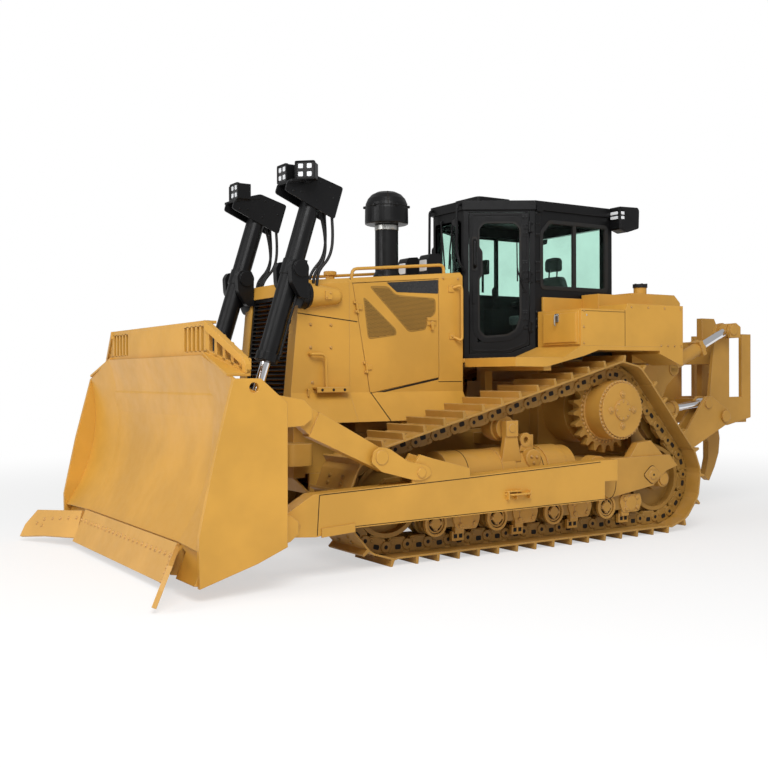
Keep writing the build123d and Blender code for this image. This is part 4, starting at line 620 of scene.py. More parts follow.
def set_out_tree():
    """Sets a pattern out on points that say which way it faces, which way it lies and how large it is."""
    tree = bpy.data.node_groups.new("Set out", "GeometryNodeTree")
    for label, kind in (("Points", "NodeSocketGeometry"), ("Pattern", "NodeSocketObject"),
                        ("Scale", "NodeSocketFloat"), ("Material", "NodeSocketMaterial")):
        tree.interface.new_socket(label, in_out="INPUT", socket_type=kind)
    tree.interface.new_socket("Geometry", in_out="OUTPUT", socket_type="NodeSocketGeometry")
    w = Wiring(tree)
    start, end = w.node("NodeGroupInput"), w.node("NodeGroupOutput")
    values = {}
    for name, kind in (("facing", "FLOAT_VECTOR"), ("along", "FLOAT_VECTOR"), ("size", "FLOAT")):
        read = w.node("GeometryNodeInputNamedAttribute", data_type=kind)
        read.inputs["Name"].default_value = name
        values[name] = read.outputs["Attribute"]
    face = w.node("FunctionNodeAlignRotationToVector", axis="Z")
    w.join(values["facing"], face.inputs["Vector"])
    lie = w.node("FunctionNodeAlignRotationToVector", axis="X", pivot_axis="Z")
    w.join(face.outputs["Rotation"], lie.inputs["Rotation"])
    w.join(values["along"], lie.inputs["Vector"])
    pattern = w.node("GeometryNodeObjectInfo")
    w.join(start.outputs["Pattern"], pattern.inputs["Object"])
    copies = w.node("GeometryNodeInstanceOnPoints")
    w.join(start.outputs["Points"], copies.inputs["Points"])
    w.join(pattern.outputs["Geometry"], copies.inputs["Instance"])
    w.join(lie.outputs["Rotation"], copies.inputs["Rotation"])
    w.join(w.maths("MULTIPLY", values["size"], start.outputs["Scale"]), copies.inputs["Scale"])
    real = w.node("GeometryNodeRealizeInstances")
    w.join(copies.outputs["Instances"], real.inputs["Geometry"])
    painted = w.node("GeometryNodeSetMaterial")
    w.join(real.outputs["Geometry"], painted.inputs["Geometry"])
    w.join(start.outputs["Material"], painted.inputs["Material"])
    w.join(painted.outputs["Geometry"], end.inputs["Geometry"])
    return tree


def set_out(name, pattern, places, material, body="chassis"):
    """One piece from a pattern, a Work in millimetres, and places as (point, facing, along, size)."""
    tree = bpy.data.node_groups.get("Set out") or set_out_tree()
    sockets = {item.name: item.identifier for item in tree.interface.items_tree if item.in_out == "INPUT"}
    stamp = linked("pattern", pattern.mesh("pattern"))
    cloud = bpy.data.meshes.new("places")
    cloud.from_pydata([Vector(place[0]) / 1000 for place in places], [], [])
    for label, index in (("facing", 1), ("along", 2)):
        stored = cloud.attributes.new(label, "FLOAT_VECTOR", "POINT")
        stored.data.foreach_set("vector", [c for place in places for c in Vector(place[index]).normalized()])
    cloud.attributes.new("size", "FLOAT", "POINT").data.foreach_set("value", [place[3] for place in places])
    points = linked("places", cloud)
    modifier = points.modifiers.new("Set out", "NODES")
    modifier.node_group = tree
    modifier[sockets["Pattern"]] = stamp
    modifier[sockets["Scale"]] = 1.0
    modifier[sockets["Material"]] = bpy.data.materials[material]
    mesh = baked(points)
    bpy.data.objects.remove(points)
    bpy.data.objects.remove(stamp)
    for label in ("facing", "along", "size"):
        if label in mesh.attributes:
            mesh.attributes.remove(mesh.attributes[label])
    mesh.name = name
    return finished(name, mesh, material, body)


def bolt_pattern():
    """A hexagon head on a washer, one millimetre in radius, to be scaled."""
    made = Work()
    made.turned(((-0.3, 1.35), (0.2, 1.35)), (0, 0, 0), UP, 10)
    made.turned(((0.1, 1.0), (0.8, 1.0), (0.95, 0.85)), (0, 0, 0), UP, 6)
    return made


def row(start, end, count, facing, size):
    """Evenly spaced places along a line."""
    start, end = Vector(start), Vector(end)
    return [(start.lerp(end, i / max(count - 1, 1)), facing, end - start, size) for i in range(count)]


def ring(x, y, z, radius, count, size, turn=0.0):
    """Bolts in a ring on a face that looks to the machine's left."""
    made = []
    for i in range(count):
        a = turn + math.tau * i / count
        made.append(((x + radius * math.cos(a), y, z + radius * math.sin(a)), LEFT,
                     (math.cos(a), 0, math.sin(a)), size))
    return made


def both_sides(places):
    """The places on the machine's left, and the same on its right."""
    made = list(places)
    for point, facing, along, size in places:
        p, f, a = Vector(point), Vector(facing), Vector(along)
        made.append(((p.x, -p.y, p.z), (f.x, -f.y, f.z), (a.x, -a.y, a.z), size))
    return made


# The track's loop

def loop_lines():
    """The straight runs between the wheels: outward angle, start and end."""
    lines = []
    for i, (x0, z0, r0) in enumerate(LOOP):
        x1, z1, r1 = LOOP[(i + 1) % len(LOOP)]
        distance = math.hypot(x1 - x0, z1 - z0)
        normal = math.atan2(z1 - z0, x1 - x0) + math.pi / 2 - math.asin((r0 - r1) / distance)
        away = Vector((math.cos(normal), math.sin(normal)))
        lines.append((normal, Vector((x0, z0)) + away * r0, Vector((x1, z1)) + away * r1))
    return lines


def loop_frames(start):
    """Place and outward angle of each link along the pins' line."""
    lines = loop_lines()
    stretches = []
    for i, (normal, first, last) in enumerate(lines):
        stretches.append(((last - first).length, "line", (first, last, normal)))
        x, z, radius = LOOP[(i + 1) % len(LOOP)]
        turn = (normal - lines[(i + 1) % len(LOOP)][0]) % math.tau
        stretches.append((radius * turn, "arc", (x, z, radius, normal)))
    length = sum(s[0] for s in stretches)
    frames = []
    for i in range(SHOE_COUNT):
        s = (start + i * length / SHOE_COUNT) % length
        for span, kind, data in stretches:
            if s <= span:
                break
            s -= span
        if kind == "line":
            place = data[0].lerp(data[1], s / span)
            frames.append((place.x, place.y, data[2]))
        else:
            x, z, radius, normal = data
            angle = normal - s / radius
            frames.append((x + radius * math.cos(angle), z + radius * math.sin(angle), angle))
    return frames


# Operators

class BULLDOZER_OT_finishes(bpy.types.Operator):
    """Give every CAD node its procedural finish"""
    bl_idname = "bulldozer.finishes"
    bl_label = "Finishes"

    def execute(self, context):
        make_materials()
        return {"FINISHED"}


class BULLDOZER_OT_fasteners(bpy.types.Operator):
    """Set out the bolt heads and studs, one piece for each body"""
    bl_idname = "bulldozer.fasteners"
    bl_label = "Bolts and studs"

    def execute(self, context):
        sizes = context.scene.bulldozer_fasteners
        hub, panel = sizes.hub_bolt * 1000, sizes.panel_bolt * 1000
        hub_x, hub_z = HUB
        chassis = ring(hub_x, HUB_Y, hub_z, 306, 44, hub) + ring(hub_x, 1171, hub_z, 353, 44, hub)
        chassis += ring(hub_x, 1438, hub_z, 92, 8, 9)
        for i in range(4):
            a = math.tau * i / 4
            chassis += ring(hub_x + 170 * math.cos(a), 1434, hub_z + 170 * math.sin(a), 0, 1, 15, a)
        for x, z in ((2318, 2264), (2091, 2263), (2319, 2041), (2092, 2041), (540, 2790), (735, 2790),
                     (2300, 1700)):
            chassis += ring(x, HOOD_Y, z, 0, 1, panel)
        for start, end, count in (((-1640, 2084), (-1962, 2084), 4), ((-1180, 2500), (-1950, 2500), 4),
                                  ((-480, 2100), (-480, 2440), 3)):
            chassis += row((start[0], TANK_Y, start[1]), (end[0], TANK_Y, end[1]), count, LEFT, panel * 0.8)
        chassis += ring(155, 1372, 910, 40, 3, 12, 0.6)
        set_out("chassis_bolts", bolt_pattern(), both_sides(chassis), "frame paint")
        hinges = []
        for low, high in ((3320, 3550), (2812, 3008), (2298, 2458)):
            for x in (-452, -488):
                hinges += row((x, 724, low), (x, 724, high), 3, LEFT, panel)
        set_out("cab_hinge_bolts", bolt_pattern(), both_sides(hinges), "black paint")
        self.edge_bolts()
        self.lamp_plate_bolts()
        return {"FINISHED"}

    def edge_bolts(self):
        """Flush heads on the sloping cutting edge and its end bits."""
        up, ahead = Vector((-0.3937, 0, 0.9195)), Vector((0.9195, 0, 0.3937))
        seats = [Vector((4062, -1265 + 115 * i, 52)) + up * 236 + ahead * 38 for i in range(23)]
        middle = [(seat, ahead, LEFT, 15) for seat in seats]
        along, out = Vector((0.415, 0.910, 0)), Vector((0.8368, -0.3816, 0.3583))
        heads = ((90, 250), (210, 240), (330, 228), (450, 216), (570, 200), (570, 130), (660, 150))
        bits = [(Vector((4062, 1300, 52)) + along * t + up * s + out * 38, out, along, 14) for t, s in heads]
        set_out("cutting_edge_bolts", bolt_pattern(), middle + both_sides(bits), "edge paint", "blade_frame")

    def lamp_plate_bolts(self):
        """Bolts on both faces of the plates that carry the lift lamps."""
        heads = ((2122, 3490), (2160, 3585), (2262, 3625), (2415, 3610), (2300, 3450), (2470, 3520),
                 (2560, 3520))
        for side, hand in HANDS:
            places = []
            for face in (1, -1):
                for x, z in heads:
                    places.append(((x, side * (LIFT_Y + face * 110), z), (0, side * face, 0), AHEAD, 9))
            name, body = "lamp_plate_bolts_" + hand[0], "lift_barrel_" + hand[0]
            set_out(name, bolt_pattern(), places, "black paint", body)


class BULLDOZER_OT_tracks(bpy.types.Operator):
    """Set out link plates, pin ends and shoe bolts round both tracks"""
    bl_idname = "bulldozer.tracks"
    bl_label = "Track links"

    def execute(self, context):
        shoe_bolt = context.scene.bulldozer_fasteners.shoe_bolt * 1000
        sides = []
        shoes = []
        for x, z, angle in loop_frames(FIRST_SHOE):
            along = Vector((math.sin(angle), 0, -math.cos(angle)))
            out = Vector((math.cos(angle), 0, math.sin(angle)))
            for face, turn in ((RAIL_OUT, 1), (-RAIL_OUT, -1)):
                sides.append(((x, TRACK_Y + face, z), (0, turn, 0), along * turn, 1.0))
            seat = Vector((x, TRACK_Y, z)) + out * 93
            for t in (-52, 18):
                for y in (-118, 118):
                    shoes.append((seat + along * t + Vector((0, y, 0)), out, along, shoe_bolt))
        plates = Work()
        plate = rounded(((-103, -70), (66, -70), (84, -46), (84, 48), (58, 66), (-62, 66), (-103, 40)), 14, 2)
        plates.plate(LEVEL, plate, -4, 9)
        plates.turned(((-4, 54), (17, 54), (21, 49)), (104, 4, 0), UP, 14)
        plates.turned(((8, 19), (15, 17)), (-58, 30, 0), UP, 8)
        set_out("track_link_plates", plates, both_sides(sides), "track links")
        holes = Work()
        holes.turned(((0, 20), (22.5, 20)), (104, 4, 0), UP, 10)
        holes.plate(LEVEL, pane(-28, 36, -40, 6, 14, 2), 0, 10.5)
        set_out("track_link_holes", holes, both_sides(sides), "shadow gap")
        set_out("track_shoe_bolts", bolt_pattern(), both_sides(shoes), "track links")
        return {"FINISHED"}


class BULLDOZER_OT_running_gear(bpy.types.Operator):
    """Caps, guards and bosses of the rollers, idlers and track frames"""
    bl_idname = "bulldozer.running_gear"
    bl_label = "Rollers and frames"

    def execute(self, context):
        cast, dark = Work(), Work()
        for i, x in enumerate(ROLLER_PLACES):
            z = ROLLER_Z
            if i % 2:
                outline = ((-140, 112), (140, 112), (168, 30), (124, -84), (-124, -84), (-168, 30))
                cast.plate(SIDE, rounded([(x + a, z + b) for a, b in outline], 30), BOGIE_Y, BOGIE_Y + 14)
                cast.turned(((BOGIE_Y, 88), (BOGIE_Y + 22, 84), (BOGIE_Y + 26, 60)), (x, 0, z + 14))
                for a, b in ((-86, 78), (78, -42), (96, 66), (-92, -36)):
                    cast.disc(x + a, z + b, 23, BOGIE_Y, BOGIE_Y + 30, 14)
                cast.block(x + 10, x + 152, 1274, 1316, 150, 246)
                cast.block(x + 28, x + 134, 1290, BOGIE_Y + 8, 226, 300)
                for a in (28, 92):
                    dark.block(x + a, x + a + 40, 1314, 1318, 176, 216)
            else:
                cast.hoop((x, 0, z), 130, 104, BOGIE_Y - 6, BOGIE_Y + 26)
                cast.hoop((x, 0, z), 96, 80, BOGIE_Y - 6, BOGIE_Y + 16)
                dark.disc(x, z, 104, BOGIE_Y - 2, BOGIE_Y + 2)
                cast.disc(x, z, 56, BOGIE_Y, BOGIE_Y + 28, 18)
                cast.block(x - 74, x + 74, BOGIE_Y, BOGIE_Y + 22, z - 20, z + 20)
                cast.block(x - 20, x + 20, BOGIE_Y, BOGIE_Y + 22, z - 70, z + 70)
                for a, b in ((-62, 0), (62, 0), (0, 58), (0, -58)):
                    cast.disc(x + a, z + b, 12, BOGIE_Y + 20, BOGIE_Y + 32, 8)
        # the frame's rear plate: diamond boss, ring, joint lines and the gusset over it
        diamond = rounded(((-1659, 660), (-1523, 768), (-1387, 660), (-1523, 552)), 44, 4)
        cast.plate(SIDE, diamond, FRAME_Y - 2, FRAME_Y + 13)
        dark.frame(SIDE, inset(diamond, -7), diamond, FRAME_Y - 2, FRAME_Y + 2)
        cast.turned(((FRAME_Y, 54), (FRAME_Y + 26, 50), (FRAME_Y + 28, 34)), (-1523, 0, 660))
        dark.disc(-1523, 660, 15, FRAME_Y, FRAME_Y + 29, 12)
        cast.hoop((-888, 0, 746), 66, 58, FRAME_Y - 2, FRAME_Y + 4)
        dark.ribbon(((-759, FRAME_Y, 851), (-759, FRAME_Y, 605)), LEFT, 7)
        turns = (0, 0.3, 0.6, 0.9, 1.2, 1.5)
        arc = [(-877 - 96 * math.sin(a) ** 0.9, FRAME_Y, 442 + 188 * (1 - math.cos(a))) for a in turns]
        dark.ribbon(arc, LEFT, 7)
        cast.plate(SIDE, ((-1200, 860), (-1325, 1018), (-1522, 1036), (-1723, 860)), 1288, 1384)
        for x in (1858, -1725):
            face = 1392 if x < 0 else 1352
            cast.turned(((1340, 66), (face, 66), (face + 4, 50)), (x, 0, IDLER_Z))
        # lifting eye, round cover and saddle on the frame's tube
        cast.hoop((190, 0, 1100), 74, 32, 1256, 1286)
        cast.plate(SIDE, ((96, 985), (284, 985), (246, 1050), (134, 1050)), 1258, 1283)
        cast.turned(((1270, 98), (1362, 98), (1368, 90)), (155, 0, 910), sides=28)
        cast.hoop((0, TRACK_Y, 775), 259, 240, -292, -34, AHEAD, 40)
        cast.hoop((0, TRACK_Y, 775), 252, 240, 380, 560, AHEAD, 40)
        dark.hoop((0, TRACK_Y, 775), 247.5, 240, 20, 27, AHEAD, 40)
        dark.hoop((0, TRACK_Y, 775), 247.5, 240, 980, 987, AHEAD, 40)
        cast.mirror().piece("track_frame_castings", "frame paint", slot="frame_yellow")
        dark.mirror().piece("track_frame_joints", "shadow gap", slot="track_steel")
        return {"FINISHED"}


class BULLDOZER_OT_hood(bpy.types.Operator):
    """Screens and latches of the engine doors, joints, rails, steps and caps of the hood"""
    bl_idname = "bulldozer.hood"
    bl_label = "Hood details"

    def execute(self, context):
        for side, hand in HANDS:
            self.door(side, hand[0])
        dark, bright = Work(), Work()
        y = HOOD_Y
        dark.ribbon(((2462, y, 2372), (1790, y, 2304)), LEFT, 9)
        dark.ribbon(((1630, y, 1590), (1630, y, 1600)), LEFT, 9)
        dark.ribbon(((1636, 604, 1592), (1505, 770, 1314)), (0, 0.86, 0.5), 9, 2.5)
        dark.ribbon(((1634, y, 1576), (800, y, 1731)), LEFT, 16)
        dark.ribbon(((1846, y, 2690), (1850, 556, hood_top(1850))), (0, 0.7, 0.7), 8)
        dark.ribbon(((1850, 556, hood_top(1850)), (1850, -556, hood_top(1850))), (0.09, 0, 1), 8)
        dark.ribbon(((492, y, 1700), (800, y, 1700)), LEFT, 7)
        for z in (2712, 2182):
            bright.disc(626, z, 12, y, y + 22, 8)
        # low rail, upright bar, grab handle, step and filler cap
        rail = y - 96
        bright.bar(((1800, rail, hood_top(1800) - 30), (1790, rail, hood_top(1790) + 92),
                    (660, rail, hood_top(660) + 92), (655, rail, hood_top(655) - 30)), 17)
        bright.bar(((640, y - 20, 2682), (550, y + 62, 2715), (535, y + 62, 2680), (535, y + 62, 2160),
                    (550, y + 62, 2134), (625, y - 20, 2185)), 15, bend=40)
        bright.block(600, 668, y - 5, y + 10, 2646, 2716)
        bright.block(590, 658, y - 5, y + 10, 2150, 2220)
        bright.bar(((2337, y - 5, 1976), (2337, y + 58, 1976), (2185, y + 58, 1976),
                    (2175, y + 58, 1650)), 15)
        bright.block(1930, 2300, y - 5, y + 90, 1641, 1656)
        bright.block(1932, 2298, y + 82, y + 92, 1604, 1652)
        for x in (1990, 2115, 2240):
            dark.disc(x, 1628, 15, y + 90, y + 94, 12)
        bright.frame(ACROSS, pane(y, y + 40, 1560, 1640, 8, 1),
                     pane(y + 8, y + 32, 1568, 1632, 8, 1), 2356, 2368)
        plate = pane(-40, 40, -42, 42, 10, 2)
        bright.plate(SIDE, [(2176 + a, 2548 + b) for a, b in plate], 690, 716)
        for a, b in ((-20, 20), (20, -20)):
            bright.disc(2176 + a, 2548 + b, 10, 714, 724, 8)
        rails = bright.mirror().piece("hood_rails_and_steps", "body paint")
        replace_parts(rails, "handrails")
        dark.mirror().piece("hood_joints", "shadow gap")
        cap = Work()
        top = hood_top(1930)
        cap.turned(((-20, 46), (46, 46), (48, 66), (84, 66), (90, 56)), (1930, 300, top), UP)
        cap.hoop((1400, -300, hood_top(1400)), 62, 48, -10, 26, UP)
        cap.piece("filler_caps", "body paint")
        return {"FINISHED"}

    def door(self, side, hand):
        """What an engine door carries: a dark panel, perforated screens and a latch."""
        y = HOOD_Y
        black, screen, latch = Work(), Work(), Work()
        panel = [(x, hood_top(x) - 68) for x in (1440, 801)] + [(801, 2623), (1318, 2618)]
        black.plate(SIDE, rounded(panel, 6, 1), y - 1, y + 2.5)
        areas = (((1722, 2566), (1665, 2129), (1322, 2179), (1329, 2240)),
                 ((1651, 2668), (1424, 2676), (1332, 2590), (832, 2574), (833, 2412), (943, 2342),
                  (951, 2242), (1169, 2209)))
        holes = []
        for area in areas:
            outline = rounded(area, 46, 4)
            screen.plate(SIDE, outline, y - 1, y + 2)
            places = self.perforations(inset(outline, 12))
            holes += [((x, side * (y + 2.3), z), (0, side, 0), AHEAD, 1.0) for x, z in places]
        latch.disc(890, 2312, 26, y + 12, y + 20, 16)
        lever = rounded(((876, 2240), (904, 2240), (912, 2330), (870, 2330)), 10, 2)
        latch.plate(SIDE, lever, y + 18, y + 34)
        latch.plate(SIDE, pane(838, 948, 2338, 2352, 4, 1), y + 10, y + 26)
        body = "engine_door_" + hand
        for work, name, finish in ((black, "dark_panel", "panel black"), (screen, "screen", "screen paint with painted shade"),
                                   (latch, "latch", "body paint")):
            work.on_side(side).piece("engine_door_" + name + "_" + hand, finish, body)
        hole = Work()
        hole.turned(((-0.5, 4.6), (0.2, 4.6)), (0, 0, 0), UP, 6)
        set_out("engine_door_holes_" + hand, hole, holes, "shadow gap", body)

    def perforations(self, room):
        """Places in staggered rows inside an outline."""
        low_x, high_x = min(p[0] for p in room), max(p[0] for p in room)
        low_z, high_z = min(p[1] for p in room), max(p[1] for p in room)
        found = []
        for k in range(int((high_z - low_z) / 13)):
            z = low_z + 13 * k
            x = low_x + (7.5 if k % 2 else 0)
            while x < high_x:
                if self.inside(room, x, z):
                    found.append((x, z))
                x += 15
        return found

    def inside(self, outline, x, z):
        found = False
        for i in range(len(outline)):
            (x0, z0), (x1, z1) = outline[i - 1], outline[i]
            if (z0 > z) != (z1 > z) and x < x0 + (x1 - x0) * (z - z0) / (z1 - z0):
                found = not found
        return found


class BULLDOZER_OT_stack(bpy.types.Operator):
    """The intake pipe with its clamp and the domed pre-cleaner"""
    bl_idname = "bulldozer.stack"
    bl_label = "Intake stack"

    def execute(self, context):
        x, y = STACK
        pipe = Work()
        pipe.turned(((hood_top(x) - 20, 150), (hood_top(x) + 30, 144), (hood_top(x) + 70, 124), (3388, 124)),
                    (x, y, 0), UP, 40)
        dome = ((3372, 120), (3374, 218), (3380, 230), (3398, 232), (3536, 230), (3596, 222), (3646, 200),
                (3690, 160), (3718, 104), (3728, 40), (3729, 0))
        pipe.turned(dome, (x, y, 0), UP, 48)
        pipe.hoop((x, y, 0), 234, 225, 3560, 3566, UP, 48)
        for i in range(6):
            a = math.radians(24 + 60 * i)
            away = Vector((math.cos(a), math.sin(a), 0))
            pipe.turned(((222, 15), (244, 15), (250, 10)), (x, y, 3560), away, 10)
        seam = Work()
        for a in (math.radians(62), math.radians(242)):
            away = Vector((math.cos(a), math.sin(a), 0))
            arc = [(3576, 227), (3610, 218.5), (3646, 201), (3690, 161), (3716, 110)]
            seam.ribbon([Vector((x, y, z)) + away * r for z, r in arc], away + Vector((0, 0, 0.6)), 9, 3)
        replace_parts(pipe.piece("intake_pipe_and_cleaner", "black paint", slot="black_paint"), "intake_stack")
        seam.piece("cleaner_seam", "shadow gap", slot="black_paint")
        band = Work()
        band.hoop((x, y, 0), 128, 120, 3312, 3362, UP, 40)
        band.block(x - 10, x + 34, y + 126, y + 146, 3322, 3352)
        band.piece("pipe_clamp", "bare steel", slot="chrome")
        return {"FINISHED"}


class BULLDOZER_OT_lift_gear(bpy.types.Operator):
    """Cylinders of the blade lift with their lamps, yokes and hoses"""
    bl_idname = "bulldozer.lift_gear"
    bl_label = "Lift cylinders"

    def execute(self, context):
        yokes = Work()
        x, z = LIFT_PIVOT
        arm = rounded(((2444, 2500), (2512, 2500), (2540, 2520), (2620, 2650), (2630, 2810), (2592, 2866),
                       (2470, 2866), (2440, 2800)), 24)
        for y0, y1 in ((LIFT_Y - 193, LIFT_Y - 122), (LIFT_Y + 122, LIFT_Y + 193)):
            yokes.plate(SIDE, arm, y0, y1)
        for face in (LIFT_Y - 214, LIFT_Y + 190):
            yokes.disc(x, z, 78, face, face + 24, 28)
        yokes.block(2433, 2453, LIFT_Y - 192, LIFT_Y + 192, 2500, 2608)
        yokes.turned(((2380, 131), (2452, 131), (2454, 126)), (0, LIFT_Y, 2545), AHEAD, 32)
        yokes.turned(((2350, 122), (2384, 138), (2392, 138)), (0, LIFT_Y, 2545), AHEAD, 32)
        yokes.mirror().piece("lift_yoke_covers", "black paint", slot="black_paint")
        for side, hand in HANDS:
            self.barrel(side, hand)
            self.hoses(side, hand[0])
        return {"FINISHED"}

    def place(self, distance, back=0.0, out=0.0):
        """A point beside the cylinder's axis: down it from the pivot, behind it and outward."""
        behind = Vector((LIFT_DIR.z, 0, -LIFT_DIR.x))
        return Vector((LIFT_PIVOT[0], LIFT_Y + out, LIFT_PIVOT[1])) + LIFT_DIR * distance + behind * back

    def barrel(self, side, hand):
        """A hollow barrel with its trunnion pins, lamp plates, shelf, pipe and lamps."""
        black, dark, lens = Work(), Work(), Work()
        profile = ((-850, 88), (-846, 96), (-92, 96), (-90, 106), (62, 106), (64, 96), (836, 96), (838, 110),
                   (918, 110), (922, 106), (922, 50), (858, 50), (856, 84.6), (-835, 84.6))
        black.turned(profile, self.place(0), LIFT_DIR, 40)
        for low, high in ((-190, -93), (93, 190)):
            black.turned(((low, 52), (high, 52)), (LIFT_PIVOT[0], LIFT_Y, LIFT_PIVOT[1]))
        plate = rounded(((2011, 3600), (2111, 3284), (2646, 3520), (2618, 3612), (2320, 3694)), 26)
        for y in (LIFT_Y - 102, LIFT_Y + 102):
            black.plate(SIDE, plate, y - 8, y + 8)
        for x, z in ((2190, 3420), (2120, 3520), (2440, 3545)):
            black.turned(((-98, 22), (98, 22)), (x, LIFT_Y, z))
        shelf = ((2330, 3640), (2330, 3664), (2606, 3618), (2606, 3594))
        black.plate(SIDE, shelf, LIFT_Y - 120, LIFT_Y + 175)
        # pipe along the barrel, with its clips
        black.bar((self.place(-120, 78, 96), self.place(880, 78, 88)), 13)
        for distance in (150, 480, 800):
            black.turned(((distance, 18), (distance + 34, 18)), self.place(0, 78, 93), LIFT_DIR, 10)
        self.lamp((2523, LIFT_Y - 50, 3702), AHEAD, black, dark, lens)
        self.lamp((2440, LIFT_Y + 160, 3706), (0.669, 0.743, 0), black, dark, lens)
        for work, name, finish, slot in ((black, "lift_barrel", "black paint", "black_paint"),
                                         (dark, "lift_lamp_faces", "panel black", "lamp_black"),
                                         (lens, "lift_lamp_lenses", "lamp lens", "lamp_black")):
            name += "_" + hand[0] + "_dressed"
            made = work.on_side(side).piece(name, finish, "lift_barrel_" + hand[0], slot)
            if work is black:
                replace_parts(made, "lift_barrel_" + hand)

    def lamp(self, origin, away, black, dark, lens):
        """A work lamp: a ribbed box with a rim and four lights behind it."""
        away = Vector(away)
        plane = Plane(origin, (-away.y, away.x, 0), UP, away)
        outline = pane(-98, 98, -88, 88, 16)
        black.plate(plane, inset(outline, 6), -76, 70)
        black.frame(plane, outline, inset(outline, 12), 56, 80)
        for a in (-60, -30, 0, 30, 60):
            black.plate(plane, ((a - 5, -78), (a + 5, -78), (a + 5, 78), (a - 5, 78)), -86, -70)
        black.turned(((-110, 20), (-84, 20)), origin, UP, 10)
        dark.plate(plane, inset(outline, 14), 68, 72)
        for a in (-42, 42):
            for b in (-38, 38):
                cell = pane(a - 23, a + 23, b - 22, b + 22, 8, 2)
                lens.plate(plane, cell, 70, 76)

    def hoses(self, side, hand):
        """Free hoses from the lamp plates down to the hood behind the yoke."""
        radius = 15.0
        outer = ((2124, 3375), (2118, 3290), (2110, 3150), (2118, 3010), (2160, 2900), (2235, 2820),
                 (2280, 2750))
        middle = ((2216, 3380), (2188, 3280), (2160, 3150), (2150, 3010), (2175, 2890), (2240, 2800),
                  (2282, 2735))
        for i, (out, line, foot) in enumerate(((-72, outer, 2706), (0, middle, 2664), (72, outer, 2640))):
            y = side * (LIFT_Y + out)
            route = [(x, y, z) for x, z in line] + [(2290, y, foot)]
            curve = bpy.data.curves.new("hose route", "CURVE")
            curve.dimensions = "3D"
            curve.resolution_u = 16
            spline = curve.splines.new("NURBS")
            spline.points.add(len(route) - 1)
            for point, place in zip(spline.points, route):
                point.co = (*(Vector(place) / 1000), 1)
            spline.order_u = 3
            spline.use_endpoint_u = True
            holder = linked("hose route", curve)
            path = [v.co.copy() for v in baked(holder).vertices]
            bpy.data.objects.remove(holder)
            tube = Work()
            tube.tube([p * 1000 for p in path], radius, 12)
            made = tube.piece("lift_hose_%s_%d" % (hand, i + 1), "hose rubber", None, "trim")
            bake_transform(made)


